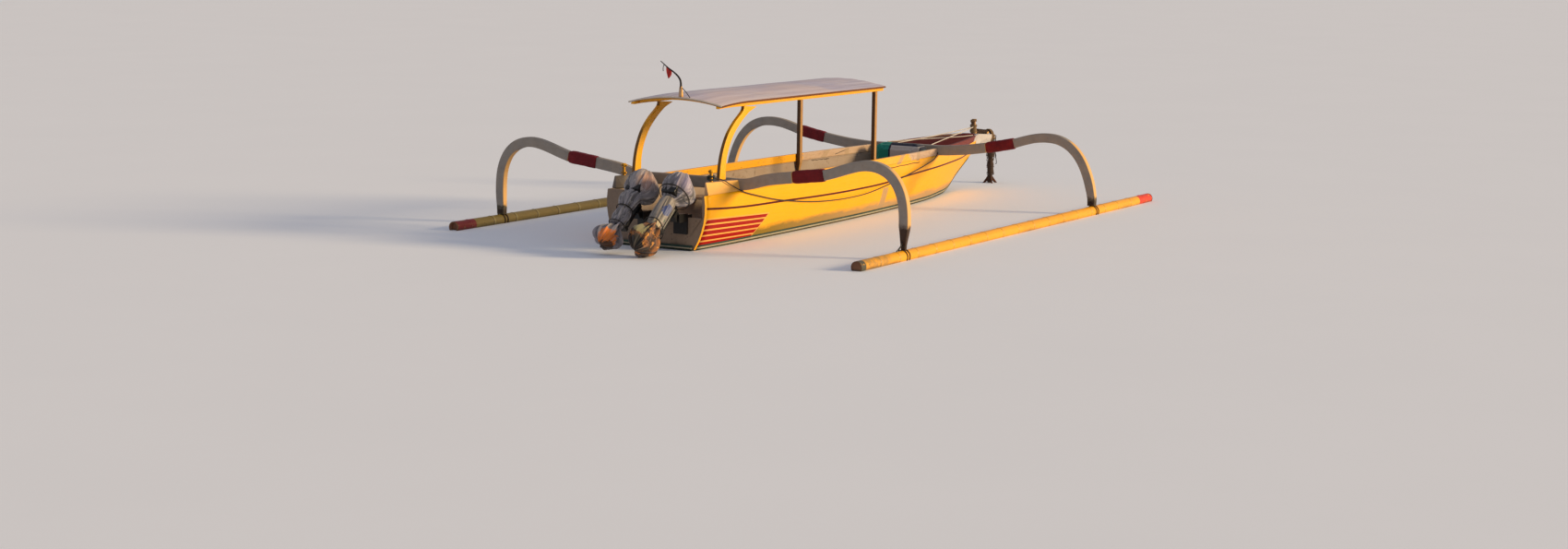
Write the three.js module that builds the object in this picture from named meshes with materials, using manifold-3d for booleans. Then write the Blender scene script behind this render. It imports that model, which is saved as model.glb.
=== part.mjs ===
// Outrigger canoe with a sun roof, two tilted-up outboard motors and a bamboo float on each side.
// Millimetres. +X is forward, +Y is port, +Z is up. The origin is on the waterline,
// amidships, on the centreline.
import * as THREE from 'three';
import { mergeVertices } from 'three/addons/utils/BufferGeometryUtils.js';
import Module from 'manifold-3d';

const wasm = await Module();
wasm.setup();

// General
const GAP = 0.3;                    // gap kept between pieces that rest on each other
const SIDES = [['port', 1], ['starboard', -1]];

// Hull. Columns: station x, sheer z, sheer half-beam, bulge z, bulge half-beam, chine z, chine half-beam
const HULL_STATIONS = [
  [-3600, 655, 572, 480, 602, 10, 470],
  [-2900, 655, 586, 470, 612, -2, 482],
  [-2000, 655, 590, 462, 608, -10, 480],
  [-1000, 655, 583, 455, 594, -14, 466],
  [0, 655, 562, 450, 564, -12, 434],
  [900, 655, 525, 448, 515, -5, 376],
  [1860, 655, 462, 448, 440, 8, 278],
  [2400, 662, 400, 450, 358, 18, 180],
  [2900, 672, 322, 470, 262, 40, 62],
  [3200, 680, 258, 520, 196, 185, 32],
  [3450, 686, 196, 565, 142, 318, 31],
  [3640, 690, 148, 600, 108, 420, 31],
];
// Columns: station x, keel z
const KEEL_LINE = [
  [-3600, -85], [-2900, -120], [-2000, -138], [-1000, -145], [0, -145],
  [900, -138], [1860, -118], [2400, -82], [2700, -48], [2900, -6], [3200, 158], [3450, 292], [3640, 394],
];
const HULL_WALL = 32;
const GUNWALE_DEPTH = 85;
const GUNWALE_WIDTH = 42;
const STERN_X = -3600;
const BOW_X = 3640;
const STEM_HALF = 14;
const TRANSOM = { thickness: 40, wellPort: 380, wellStarboard: -568, wellZ: 340 };
const FLOOR = { aftX: -3450, foreX: 1850, thickness: 20, margin: 4 };
const THWART_XS = [-2050, -700];
const SEAT_GAP = 0.6;
const THWART = { width: 230, thickness: 28, topZ: 360 };
const FOREDECK = { aftX: 1902, thickness: 18, drop: 10, camber: 14 };
const BULKHEAD = { aftX: 1906, thickness: 18 };
const BOW_SEAT = { aftX: 1530, foreX: 1890, topZ: 400, thickness: 28 };
const BOW_CUSHION = { aftX: 1570, foreX: 1790, portY: 285, starboardY: -385, topZ: 705, edge: 26 };
const QUARTER = { aftX: -3560, innerY: 500, aftInnerY: 546, fullX: -3468, aftTopZ: 700, foreTopZ: 680 };

// Beak, post, spar and anchor at the bow
const BEAK = { foreX: 4200, aftHalf: 104, foreHalf: 62, aftTopZ: 690, foreTopZ: 645 };
// Columns: x, underside z
const BEAK_UNDERSIDE = [[3640.3, 420], [3720, 480], [3820, 520], [4000, 540], [4200, 546]];
const BOW_POST = { x: 3768, radius: 33, topZ: 868 };
const BOW_SPAR = { aftX: 3806, foreX: 4196, radius: 19 };
const LASHING = { length: 62, half: 56, bottomZ: 548, topZ: 704 };
const ANCHOR = { x: 4298.7, radius: 42, topZ: 650, crownZ: 60, flukeReach: 130, flukeTipZ: -45 };

// Crossbeams and curved arms
const ARM = { width: 76, depth: 108, chamfer: 16 };
const BEAM_DEPTH = 120;
const SLEEVE = { width: 96, depth: 136, chamfer: 26 };
const HULL_TOP_Z = 655 - GUNWALE_DEPTH;
const BEAM_Z = HULL_TOP_Z + GAP + BEAM_DEPTH / 2;
const FLOAT = { y: 2500, z: 35, radius: 62, nodeRise: 4, nodePitch: 400, sides: 14 };
const FOOT_Z = FLOAT.z + FLOAT.radius + GAP;
// One row for each pair of arms. beam and arm columns: distance from the centreline, z
const ARM_SETS = [
  {
    name: 'aft', x: -2920,
    beam: [[600, BEAM_Z], [700, 645], [912, 700], [1218, 746]],
    sleeve: [[1218, 746], [1400, 769], [1582, 790]],
    arm: [[1582, 790], [1700, 824], [1850, 872], [1980, 906], [2090, 918], [2200, 905], [2305, 862],
      [2392, 788], [2452, 692], [2490, 580], [2506, 450], [2508, 300], [2502, 180], [2502, FOOT_Z]],
  },
  {
    name: 'fore', x: 1860,
    beam: [[480, BEAM_Z], [700, 645], [900, 668], [1108, 700]],
    sleeve: [[1108, 700], [1290, 734], [1472, 772]],
    arm: [[1472, 772], [1600, 812], [1750, 848], [1900, 860], [2040, 844], [2168, 788], [2275, 696],
      [2357, 580], [2420, 440], [2462, 300], [2484, 180], [2484, FOOT_Z]],
  },
];
// Ends of each float, and the place of one of its nodes, clear of the arm feet
const FLOAT_ROWS = {
  port: { aftX: -3780, foreX: 3600, nodeX: -2735 },
  starboard: { aftX: -3900, foreX: 3600, nodeX: -2700 },
};

// Roof
const ROOF = { aftX: -3290, foreX: 260, half: 575, edgeZ: 1472, camber: 70, sheet: 18 };
const DROOP = { startX: -2700, depth: 30 };
const ROOF_BEAM = { inner: 500, outer: 545, bottomZ: 1436, taperX: -2840, endDepth: 20 };
const CURVED_POST = { inner: 503, outer: 543, footZ: 700 };
// Columns: x, z, from the foot up, for each edge of the curved post
const CURVED_POST_AFT = [[-3272, 0], [-3250, 860], [-3200, 1010], [-3112, 1155], [-2985, 1272], [-2815, 1386]];
const CURVED_POST_FORE = [[-3150, 0], [-3142, 860], [-3096, 1004], [-2998, 1150], [-2862, 1266], [-2722, 1362]];
const CURVED_POST_HEAD = { aftX: -2800, foreX: -2545, topZ: 1434.4, edgeZ: 1416 };
const FORE_POST = { x: 150, width: 56, depth: 46, footZ: 400, taperZ: 560 };

// Flag at the aft edge of the roof
const FLAG = { x: -3268, blockY: -60, blockFootZ: 1533, blockTopZ: 1640, staffRadius: 9, thickness: 6 };
// Columns: y, z
const STAFF_PATH = [[-60, 1610], [-56, 1690], [-30, 1735], [25, 1780], [100, 1825], [190, 1890]];
// The flag hangs from this stretch of the staff. Columns: share of the staff's length
const FLAG_HEM = [0.98, 0.94, 0.9, 0.86, 0.82];
const FLAG_SAG = [[84, 1760], [78, 1712], [104, 1676], [140, 1690], [166, 1760]];

// Outboard motors, drawn upright about their tilt axis and then tilted up
const MOTOR = { pivotX: -3780, pivotZ: 360, tiltUpDeg: 50, steerX: -68 };
// Columns: side, distance from the centreline, size of its propeller bag
const MOTOR_ROWS = [['port', 118, 1], ['starboard', -322, 1.14]];
const CLAMP = { half: 80, plate: 30, earHalfInner: 62, pinRadius: 9, hookDepth: 90, faceBottomZ: 170 };
const SWIVEL = { tube: 36, top: 25, bottom: -260, neckHalf: 56, neckBottom: -60, foreX: 20, bore: 9.4 };
const LEG = { aftX: -232, foreX: -116, half: 44, bottomZ: -400, topZ: 75, lugGap: 0.4, lugThick: 34 };
const POWERHEAD = { aftX: -285, foreX: -95, half: 80, bottomZ: LEG.topZ + GAP, topZ: 300 };
// Cover rings. Columns: z, centre x, half length, half width
const COVER_RINGS = [
  [63, -156, 116, 100], [92, -154, 150, 142], [134, -148, 180, 174], [184, -145, 201, 193],
  [236, -151, 201, 192], [286, -163, 186, 176], [332, -180, 152, 142], [370, -196, 100, 94], [395, -206, 42, 40],
];
// Propeller bag rings. Columns: z, centre x, half length, half width
const BAG_RINGS = [
  [LEG.bottomZ - GAP, -184, 92, 76], [-430, -196, 144, 118], [-480, -206, 186, 154], [-540, -212, 200, 166],
  [-600, -222, 184, 152], [-648, -236, 138, 112], [-680, -248, 64, 50],
];

// Stern posts and the rope along the starboard side
const STERN_POST = { x: -3424, y: 537 };
const SIDE_ROPE = { radius: 6, stand: 9 };
// Columns: x, z, extra distance outboard of the hull side
const SIDE_ROPE_ROUTE = [
  [-3406, 726, -27.6], [-3365, 724, -22], [-3310, 716, 2], [-3250, 694, 14], [-3170, 656, 8], [-3060, 608, 5],
  [-2920, 556, 2],
  [-2700, 504, 2], [-2300, 424, 2], [-1930, 372, 3], [-1480, 322, 4], [-1030, 292, 6], [-580, 280, 6],
  [-100, 290, 6], [400, 338, 5], [850, 396, 4], [1250, 452, 3], [1560, 504, 3], [1700, 532, 2], [1770, 566, 1],
  [1818, 604, 0],
];

// Finishes. Columns: colour, roughness, metalness
const FINISHES = {
  yellow: ['#f0a818', 0.5, 0],
  white: ['#cfc4bb', 0.55, 0],
  grey: ['#8b8480', 0.7, 0],
  interior: ['#b39f90', 0.7, 0],
  maroon: ['#6b1a1e', 0.6, 0],
  underbody: ['#22282a', 0.85, 0],
  bamboo: ['#a38a4a', 0.6, 0],
  bambooYellow: ['#e0a52c', 0.5, 0],
  teal: ['#1f7a70', 0.8, 0],
  rope: ['#3a3028', 0.95, 0],
  black: ['#1b1b1d', 0.5, 0.2],
  cover: ['#86848c', 0.85, 0],
  rag: ['#b0702c', 0.9, 0],
  rust: ['#4e3022', 0.9, 0.2],
  red: ['#b8201c', 0.8, 0],
};

const group = new THREE.Group();

function addMesh(name, geometry, finish, parent = group) {
  const [color, roughness, metalness] = FINISHES[finish];
  const mesh = new THREE.Mesh(geometry, new THREE.MeshStandardMaterial({ color, roughness, metalness }));
  mesh.name = name;
  parent.add(mesh);
  return mesh;
}

// Builds a closed body from corner points and triangles, and turns its faces outwards.
function closedBody(points, triangles) {
  let volume = 0;
  for (const [a, b, c] of triangles) {
    const [p, q, r] = [points[a], points[b], points[c]];
    volume += p[0] * (q[1] * r[2] - q[2] * r[1]) + p[1] * (q[2] * r[0] - q[0] * r[2])
      + p[2] * (q[0] * r[1] - q[1] * r[0]);
  }
  const index = triangles.flatMap(([a, b, c]) => (volume > 0 ? [a, b, c] : [a, c, b]));
  const geometry = new THREE.BufferGeometry();
  geometry.setAttribute('position', new THREE.Float32BufferAttribute(points.flat(), 3));
  geometry.setIndex(index);
  geometry.computeVertexNormals();
  return geometry;
}

// Skins a row of rings that hold the same number of points. A fan cap suits a full section,
// a strip cap suits a thin section whose second half runs back along the first.
function loft(rings, cap = 'fan') {
  const count = rings[0].length;
  const points = rings.flat();
  const triangles = [];
  for (let r = 0; r + 1 < rings.length; r += 1) {
    for (let i = 0; i < count; i += 1) {
      const j = (i + 1) % count;
      const [a, b, c, d] = [r * count + i, r * count + j, (r + 1) * count + j, (r + 1) * count + i];
      triangles.push([a, b, c], [a, c, d]);
    }
  }
  const capEnd = (start, flip) => {
    const add = (a, b, c) => triangles.push(flip ? [a, c, b] : [a, b, c]);
    if (cap === 'strip') {
      for (let i = 0; i + 1 < count / 2; i += 1) {
        const [a, b, c, d] = [start + i, start + i + 1, start + count - 2 - i, start + count - 1 - i];
        add(a, c, b);
        add(a, d, c);
      }
      return;
    }
    const ring = points.slice(start, start + count);
    const centre = [0, 1, 2].map((k) => ring.reduce((sum, p) => sum + p[k], 0) / count);
    const hub = points.length;
    points.push(centre);
    for (let i = 0; i < count; i += 1) add(hub, start + ((i + 1) % count), start + i);
  };
  capEnd(0, false);
  capEnd((rings.length - 1) * count, true);
  return closedBody(points, triangles);
}

// Extrudes a flat outline between two distances. place(u, v, w) gives the point in space.
function prism(outline, from, to, place) {
  const contour = outline.map(([u, v]) => new THREE.Vector2(u, v));
  const faces = THREE.ShapeUtils.triangulateShape(contour, []);
  const count = outline.length;
  const points = [from, to].flatMap((w) => outline.map(([u, v]) => place(u, v, w)));
  const triangles = faces.flatMap(([a, b, c]) => [[a, b, c], [count + a, count + c, count + b]]);
  for (let i = 0; i < count; i += 1) {
    const j = (i + 1) % count;
    triangles.push([i, count + i, count + j], [i, count + j, j]);
  }
  // The caps and the walls have to turn the same way round.
  const area = THREE.ShapeUtils.area(contour);
  const walls = triangles.slice(faces.length * 2);
  const turned = area > 0 ? walls.map(([a, b, c]) => [a, b, c]) : walls.map(([a, b, c]) => [a, c, b]);
  return closedBody(points, [...triangles.slice(0, faces.length * 2), ...turned]);
}

const onXZ = (u, v, w) => [u, w, v];
const onYZ = (u, v, w) => [w, u, v];

function box(x0, x1, y0, y1, z0, z1) {
  return prism([[x0, z0], [x1, z0], [x1, z1], [x0, z1]], y0, y1, onXZ);
}

function toSolid(geometry) {
  const bare = geometry.clone();
  bare.deleteAttribute('normal');
  bare.deleteAttribute('uv');
  const merged = mergeVertices(bare, 1e-4);
  return new wasm.Manifold(new wasm.Mesh({
    numProp: 3,
    vertProperties: new Float32Array(merged.attributes.position.array),
    triVerts: new Uint32Array(merged.index.array),
  }));
}

function toGeometry(solid) {
  const mesh = solid.getMesh();
  const geometry = new THREE.BufferGeometry();
  geometry.setAttribute('position', new THREE.BufferAttribute(new Float32Array(mesh.vertProperties), 3));
  geometry.setIndex(new THREE.BufferAttribute(new Uint32Array(mesh.triVerts), 1));
  geometry.computeVertexNormals();
  return geometry;
}

const join = (...pieces) => toGeometry(pieces.map(toSolid).reduce((a, b) => a.add(b)));
const cut = (piece, ...tools) => toGeometry(tools.map(toSolid).reduce((a, b) => a.subtract(b), toSolid(piece)));

// Reads a table whose first column is x, with a smooth curve between its rows.
function tableAt(table, x, column) {
  let i = table.findIndex((row) => row[0] >= x);
  if (i < 0) i = table.length - 1;
  i = Math.max(1, i);
  const [p1, p2] = [table[i - 1], table[i]];
  const p0 = table[i - 2] ?? p1;
  const p3 = table[i + 1] ?? p2;
  const span = p2[0] - p1[0];
  const t = (x - p1[0]) / span;
  const slope = (a, b) => (b[0] === a[0] ? 0 : (b[column] - a[column]) / (b[0] - a[0]));
  const [m1, m2] = [slope(p0, p2) * span, slope(p1, p3) * span];
  const [t2, t3] = [t * t, t * t * t];
  return (2 * t3 - 3 * t2 + 1) * p1[column] + (t3 - 2 * t2 + t) * m1
    + (-2 * t3 + 3 * t2) * p2[column] + (t3 - t2) * m2;
}

// Every hull piece has its rings at the same stations, so that neighbours share their edges.
const HULL_XS = [
  ...stationsBetween(STERN_X, 2400, 300), ...stationsBetween(2400, 2880, 120).slice(1),
  ...stationsBetween(2880, BOW_X, 127).slice(1),
];

function onStations(table, x, column) {
  const next = HULL_XS.findIndex((station) => station >= x);
  const i = Math.min(Math.max(next < 0 ? HULL_XS.length - 1 : next, 1), HULL_XS.length - 1);
  const [a, b] = [HULL_XS[i - 1], HULL_XS[i]];
  const t = (x - a) / (b - a);
  return tableAt(table, a, column) * (1 - t) + tableAt(table, b, column) * t;
}

const stationsIn = (from, to) => [from, ...HULL_XS.filter((x) => x > from + 15 && x < to - 15), to];
const sheerZ = (x) => onStations(HULL_STATIONS, x, 1);
const chineZ = (x) => onStations(HULL_STATIONS, x, 5);
const chineY = (x) => onStations(HULL_STATIONS, x, 6);
const keelZ = (x) => onStations(KEEL_LINE, x, 1);

// Half-beam of the outer skin: a parabola in z through the chine, the bulge and the sheer.
function hullY(x, z) {
  const [z0, z1, z2] = [5, 3, 1].map((column) => onStations(HULL_STATIONS, x, column));
  const [b0, b1, b2] = [6, 4, 2].map((column) => onStations(HULL_STATIONS, x, column));
  return b0 * ((z - z1) * (z - z2)) / ((z0 - z1) * (z0 - z2))
    + b1 * ((z - z0) * (z - z2)) / ((z1 - z0) * (z1 - z2))
    + b2 * ((z - z0) * (z - z1)) / ((z2 - z0) * (z2 - z1));
}

const SKIN_LEVELS = 6;

// Heights and half-beams of the faceted outer skin at any x, taken between two stations
function skinRow(x) {
  const next = HULL_XS.findIndex((station) => station >= x - 1e-6);
  const i = Math.min(Math.max(next < 0 ? HULL_XS.length - 1 : next, 1), HULL_XS.length - 1);
  const [a, b] = [HULL_XS[i - 1], HULL_XS[i]];
  const t = (x - a) / (b - a);
  const levels = (at) => spread(chineZ(at), sheerZ(at) - GUNWALE_DEPTH - GAP, SKIN_LEVELS);
  const [za, zb] = [levels(a), levels(b)];
  return za.map((z, k) => [z * (1 - t) + zb[k] * t, hullY(a, z) * (1 - t) + hullY(b, zb[k]) * t]);
}

// Half-beam of the faceted skin at any x and z
function skinY(x, z) {
  const row = skinRow(x);
  const next = row.findIndex(([level]) => level >= z);
  const k = Math.min(Math.max(next < 0 ? row.length - 1 : next, 1), row.length - 1);
  const [[z0, y0], [z1, y1]] = [row[k - 1], row[k]];
  return y0 + (y1 - y0) * Math.min(Math.max((z - z0) / (z1 - z0), 0), 1);
}

function stationsBetween(from, to, step) {
  const count = Math.max(1, Math.round((to - from) / step));
  return Array.from({ length: count + 1 }, (_, i) => from + ((to - from) * i) / count);
}

const spread = (from, to, count) => stationsBetween(0, 1, 1 / count).map((t) => from + (to - from) * t);

// A section with cut corners, for beams and arms
function cutCornerRing(half, depth, chamfer) {
  const [w, d] = [half, depth / 2];
  return [
    [-w, -d + chamfer], [-w + chamfer, -d], [w - chamfer, -d], [w, -d + chamfer],
    [w, d - chamfer], [w - chamfer, d], [-w + chamfer, d], [-w, d - chamfer],
  ];
}

// Carries a section along a path in the plane of one pair of arms. Path columns: y, z.
// before and after are the neighbouring pieces' nearest points: two pieces that butt share the
// tilt of their ends. trim shortens both ends.
function sweepAcross(path, x, size, { before, after, trim = 0 } = {}) {
  const ring = cutCornerRing(size.width / 2, size.depth, size.chamfer);
  const last = path.length - 1;
  const rings = path.map(([y, z], i) => {
    const [y0, z0] = i === 0 ? before ?? path[0] : path[i - 1];
    const [y1, z1] = i === last ? after ?? path[last] : path[i + 1];
    const length = Math.hypot(y1 - y0, z1 - z0);
    const [ty, tz] = [(y1 - y0) / length, (z1 - z0) / length];
    const shift = (i === 0 ? trim : 0) - (i === last ? trim : 0);
    return ring.map(([u, v]) => [x + u, y + ty * shift - tz * v, z + tz * shift + ty * v]);
  });
  return loft(rings);
}

function smoothPath(points, steps) {
  const curve = new THREE.CatmullRomCurve3(points.map(([a, b]) => new THREE.Vector3(a, b, 0)), false, 'centripetal');
  return curve.getPoints(steps).map((p) => [p.x, p.y]);
}

// A rounded oblong section, squarer than an ellipse
function oblongRing(z, centreX, halfLength, halfWidth, sides = 16, power = 2 / 2.6) {
  return Array.from({ length: sides }, (_, i) => {
    const angle = (2 * Math.PI * i) / sides;
    const [c, s] = [Math.cos(angle), Math.sin(angle)];
    return [
      centreX + halfLength * Math.sign(c) * Math.abs(c) ** power,
      halfWidth * Math.sign(s) * Math.abs(s) ** power,
      z,
    ];
  });
}

// A turned piece. Profile columns: radius, height. The profile starts and ends on the axis, or closes.
function turned(profile, sides) {
  const geometry = new THREE.LatheGeometry(profile.map(([r, z]) => new THREE.Vector2(r, z)), sides);
  geometry.rotateX(Math.PI / 2);
  return geometry;
}

function rod(from, to, radius, sides = 12) {
  const [a, b] = [new THREE.Vector3(...from), new THREE.Vector3(...to)];
  const geometry = new THREE.CylinderGeometry(radius, radius, a.distanceTo(b), sides);
  const direction = b.clone().sub(a).normalize();
  geometry.applyQuaternion(new THREE.Quaternion().setFromUnitVectors(new THREE.Vector3(0, 1, 0), direction));
  const middle = a.add(b).multiplyScalar(0.5);
  return geometry.translate(middle.x, middle.y, middle.z);
}

// Hull below the chine, solid up to the floor
function underbody() {
  const steps = spread(1, -1, 10);
  const rings = HULL_XS.map((x) => {
    const [half, top, keel] = [chineY(x), chineZ(x) - GAP, keelZ(x)];
    const bottom = steps.slice(1, -1).map((t) => [x, half * t, keel + (top - keel) * Math.abs(t) ** 1.9]);
    return [[x, half, top], ...bottom, [x, -half, top]];
  });
  return loft(rings);
}

// One side of the hull, from the chine up to the foot of the gunwale plank
function topside(side) {
  const rings = HULL_XS.map((x) => {
    const outer = skinRow(x).map(([z, y]) => [x, side * y, z]);
    const inner = skinRow(x).map(([z, y]) => [x, side * Math.max(y - HULL_WALL, STEM_HALF), z]);
    return [...outer, ...inner.reverse()];
  });
  return loft(rings, 'strip');
}

const gunwaleInner = (x) => hullY(x, sheerZ(x)) - GUNWALE_WIDTH;

// A plank standing on the topside's edge between two stations
function gunwale(side, from, to) {
  const rings = stationsIn(from, to).map((x) => {
    const [top, foot] = [sheerZ(x), sheerZ(x) - GUNWALE_DEPTH];
    const inner = gunwaleInner(x);
    return [
      [x, side * inner, foot], [x, side * hullY(x, foot), foot],
      [x, side * hullY(x, top), top], [x, side * inner, top],
    ];
  });
  return loft(rings);
}

// Transom with a well cut down for the motors
function transom() {
  const [half, top, keel] = [chineY(STERN_X), chineZ(STERN_X), keelZ(STERN_X)];
  const bottom = spread(-1, 1, 10).map((t) => [half * t, keel + (top - keel) * Math.abs(t) ** 1.9]);
  const sheer = sheerZ(STERN_X) - GUNWALE_DEPTH;
  const levels = spread(top, sheer, 6).slice(1);
  const portSide = levels.map((z) => [hullY(STERN_X, z), z]);
  const starboardSide = levels.map((z) => [-hullY(STERN_X, z), z]).reverse();
  const well = [
    [TRANSOM.wellPort, sheer], [TRANSOM.wellPort, TRANSOM.wellZ],
    [TRANSOM.wellStarboard, TRANSOM.wellZ], [TRANSOM.wellStarboard, sheer],
  ];
  return prism([...bottom, ...portSide, ...well, ...starboardSide],
    STERN_X - TRANSOM.thickness, STERN_X - GAP, onYZ);
}

// Side deck block at the stern quarter, standing on the topside, narrow aft where the motors swing
function quarterBlock(side) {
  const foreX = ARM_SETS[0].x - ARM.width / 2 - GAP;
  const rings = [QUARTER.aftX, QUARTER.fullX, -3300, -3100, foreX].map((x) => {
    const top = quarterTopZ(x);
    const foot = sheerZ(x) - GUNWALE_DEPTH;
    const inner = x === QUARTER.aftX ? QUARTER.aftInnerY : QUARTER.innerY;
    return [
      [x, side * inner, foot], [x, side * hullY(x, foot), foot],
      [x, side * (hullY(x, top) + 2), top], [x, side * inner, top],
    ];
  });
  return loft(rings);
}

function floorboards() {
  const rings = stationsIn(FLOOR.aftX, FLOOR.foreX).map((x) => {
    const foot = chineZ(x);
    const half = skinY(x, foot) - HULL_WALL - FLOOR.margin;
    return [
      [x, half, foot], [x, half, foot + FLOOR.thickness],
      [x, -half, foot + FLOOR.thickness], [x, -half, foot],
    ];
  });
  return loft(rings);
}

// A seat board that reaches the inner skin on both sides
function seatBoard(from, to, topZ, thickness) {
  const footZ = topZ - thickness;
  const rings = stationsIn(from, to).map((x) => {
    const half = Math.min(...[footZ, topZ].map((z) => skinY(x, z))) - HULL_WALL - SEAT_GAP;
    return [[x, half, footZ], [x, half, topZ], [x, -half, topZ], [x, -half, footZ]];
  });
  return loft(rings);
}

function foredeck() {
  const across = spread(1, -1, 4);
  const rings = stationsIn(FOREDECK.aftX, BOW_X).map((x) => {
    const half = gunwaleInner(x) - GAP;
    const top = sheerZ(x) - FOREDECK.drop;
    const upper = across.map((t) => [x, half * t, top + FOREDECK.camber * (1 - t * t)]);
    const lower = across.map((t) => [x, half * t, top - FOREDECK.thickness + FOREDECK.camber * (1 - t * t)]);
    return [...upper, ...lower.reverse()];
  });
  return loft(rings, 'strip');
}

function bulkhead() {
  const foreX = BULKHEAD.aftX + BULKHEAD.thickness;
  const levels = spread(chineZ(foreX) + GAP, HULL_TOP_Z - 1, 5);
  const sideLine = levels.map((z) => [skinY(foreX, z) - HULL_WALL - SEAT_GAP - 1, z]);
  const deckHalf = gunwaleInner(foreX) - SEAT_GAP;
  const deckZ = sheerZ(foreX) - FOREDECK.drop - FOREDECK.thickness - GAP;
  sideLine.push([deckHalf, HULL_TOP_Z + 1], [deckHalf, deckZ]);
  const mirrored = sideLine.map(([y, z]) => [-y, z]).reverse();
  return prism([...sideLine, ...mirrored], BULKHEAD.aftX, foreX, onYZ);
}

// A plain block with its edges cut, for the cushion
function softBlock(x0, x1, y0, y1, z0, z1, edge) {
  const layer = (z, inset) => [
    [x0 + inset, y0 + edge, z], [x0 + edge, y0 + inset, z], [x1 - edge, y0 + inset, z], [x1 - inset, y0 + edge, z],
    [x1 - inset, y1 - edge, z], [x1 - edge, y1 - inset, z], [x0 + edge, y1 - inset, z], [x0 + inset, y1 - edge, z],
  ];
  return loft([layer(z0, edge * 0.6), layer(z0 + edge, 0), layer(z1 - edge, 0), layer(z1, edge * 0.6)]);
}

const beakTopZ = (x) => BEAK.aftTopZ + (BEAK.foreTopZ - BEAK.aftTopZ) * ((x - BOW_X) / (BEAK.foreX - BOW_X));

function beak() {
  const rings = BEAK_UNDERSIDE.map(([x, footZ]) => {
    const t = (x - BOW_X) / (BEAK.foreX - BOW_X);
    const half = BEAK.aftHalf + (BEAK.foreHalf - BEAK.aftHalf) * t;
    const keelHalf = 30 + 10 * t;
    return [
      [x, -keelHalf, footZ], [x, keelHalf, footZ], [x, half, footZ + 60],
      [x, half, beakTopZ(x)], [x, -half, beakTopZ(x)], [x, -half, footZ + 60],
    ];
  });
  return loft(rings);
}

// Grapnel hung from the bow: a shank wound with rope, and four flared flukes
function anchor() {
  const { radius, topZ, crownZ, flukeReach, flukeTipZ } = ANCHOR;
  const shank = turned([
    [0, crownZ - 70], [radius * 0.6, crownZ - 62], [radius * 0.95, crownZ + 40], [radius, crownZ + 180],
    [radius * 0.92, topZ - 160], [radius * 0.8, topZ - 20], [radius * 0.4, topZ], [0, topZ],
  ], 12);
  const flukes = [45, 135, 225, 315].map((degrees) => {
    const fluke = prism([
      [10, crownZ + 80], [10, crownZ - 20], [flukeReach - 14, flukeTipZ - 4], [flukeReach, flukeTipZ + 8],
      [flukeReach * 0.52, crownZ + 10],
    ], -9, 9, onXZ);
    return fluke.rotateZ(THREE.MathUtils.degToRad(degrees));
  });
  return join(shank, ...flukes).translate(ANCHOR.x, 0, 0);
}

// Bamboo pole with a low swelling at each joint of the stem
function float(side, { aftX, foreX, nodeX }) {
  const rings = [];
  const addRing = (x, radius) => rings.push(Array.from({ length: FLOAT.sides }, (_, i) => {
    const angle = (2 * Math.PI * (i + 0.5)) / FLOAT.sides + Math.PI / 2 - Math.PI / FLOAT.sides;
    return [x, side * FLOAT.y + radius * Math.cos(angle), FLOAT.z + radius * Math.sin(angle)];
  }));
  addRing(aftX, FLOAT.radius);
  const first = nodeX - FLOAT.nodePitch * Math.floor((nodeX - aftX - 60) / FLOAT.nodePitch);
  for (let x = first; x < foreX - 60; x += FLOAT.nodePitch) {
    addRing(x - 26, FLOAT.radius);
    addRing(x, FLOAT.radius + FLOAT.nodeRise);
    addRing(x + 26, FLOAT.radius);
  }
  addRing(foreX, FLOAT.radius);
  return loft(rings);
}

// Height of the roof sheet's underside above its level edge
const droopAt = (x) => (x < DROOP.startX ? -DROOP.depth * ((x - DROOP.startX) / (ROOF.aftX - DROOP.startX)) ** 2 : 0);
const roofZ = (x, y) => ROOF.edgeZ + droopAt(x) + ROOF.camber * (1 - (y / ROOF.half) ** 2);
const ROOF_XS = [ROOF.aftX, -3150, -3000, -2850, -2700, -2300, -1500, -600, ROOF.foreX];

function roofSheet() {
  const across = spread(ROOF.half, -ROOF.half, 12);
  const rings = ROOF_XS.map((x) => {
    const upper = across.map((y) => [x, y, roofZ(x, y) + ROOF.sheet]);
    const lower = across.map((y) => [x, y, roofZ(x, y)]);
    return [...upper, ...lower.reverse()];
  });
  return loft(rings, 'strip');
}

// Underside of a roof beam, level with the droop and rising to a thin aft end
function roofBeamFootZ(x) {
  const { outer, bottomZ, taperX, endDepth } = ROOF_BEAM;
  const share = Math.max(0, (taperX - x) / (taperX - ROOF.aftX));
  const endZ = roofZ(ROOF.aftX, outer) - endDepth - droopAt(ROOF.aftX);
  return bottomZ + (endZ - bottomZ) * share + droopAt(x);
}

function roofBeam(side) {
  const rings = ROOF_XS.map((x) => [
    [x, side * ROOF_BEAM.inner, roofBeamFootZ(x)],
    [x, side * ROOF_BEAM.outer, roofBeamFootZ(x)],
    [x, side * ROOF_BEAM.outer, roofZ(x, ROOF_BEAM.outer) - 1],
    [x, side * ROOF_BEAM.inner, roofZ(x, ROOF_BEAM.inner) - 1],
  ]);
  return loft(rings);
}

// Sickle-shaped post, a board that widens into a head under the roof beam
function curvedPost(side) {
  const foot = quarterTopZ(CURVED_POST_AFT[0][0]) + GAP;
  const toeZ = quarterTopZ(CURVED_POST_FORE[0][0]) + GAP;
  const aft = CURVED_POST_AFT.slice(1);
  const fore = CURVED_POST_FORE.slice(1);
  const outline = [
    [CURVED_POST_AFT[0][0], foot], [CURVED_POST_FORE[0][0], toeZ + (foot - toeZ)],
    ...smoothPath(fore, 9),
    [CURVED_POST_HEAD.foreX, CURVED_POST_HEAD.edgeZ], [CURVED_POST_HEAD.foreX, CURVED_POST_HEAD.topZ],
    [CURVED_POST_HEAD.aftX, CURVED_POST_HEAD.topZ],
    ...smoothPath(aft, 9).reverse(),
  ];
  return prism(outline, side * CURVED_POST.inner, side * CURVED_POST.outer, onXZ);
}

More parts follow.
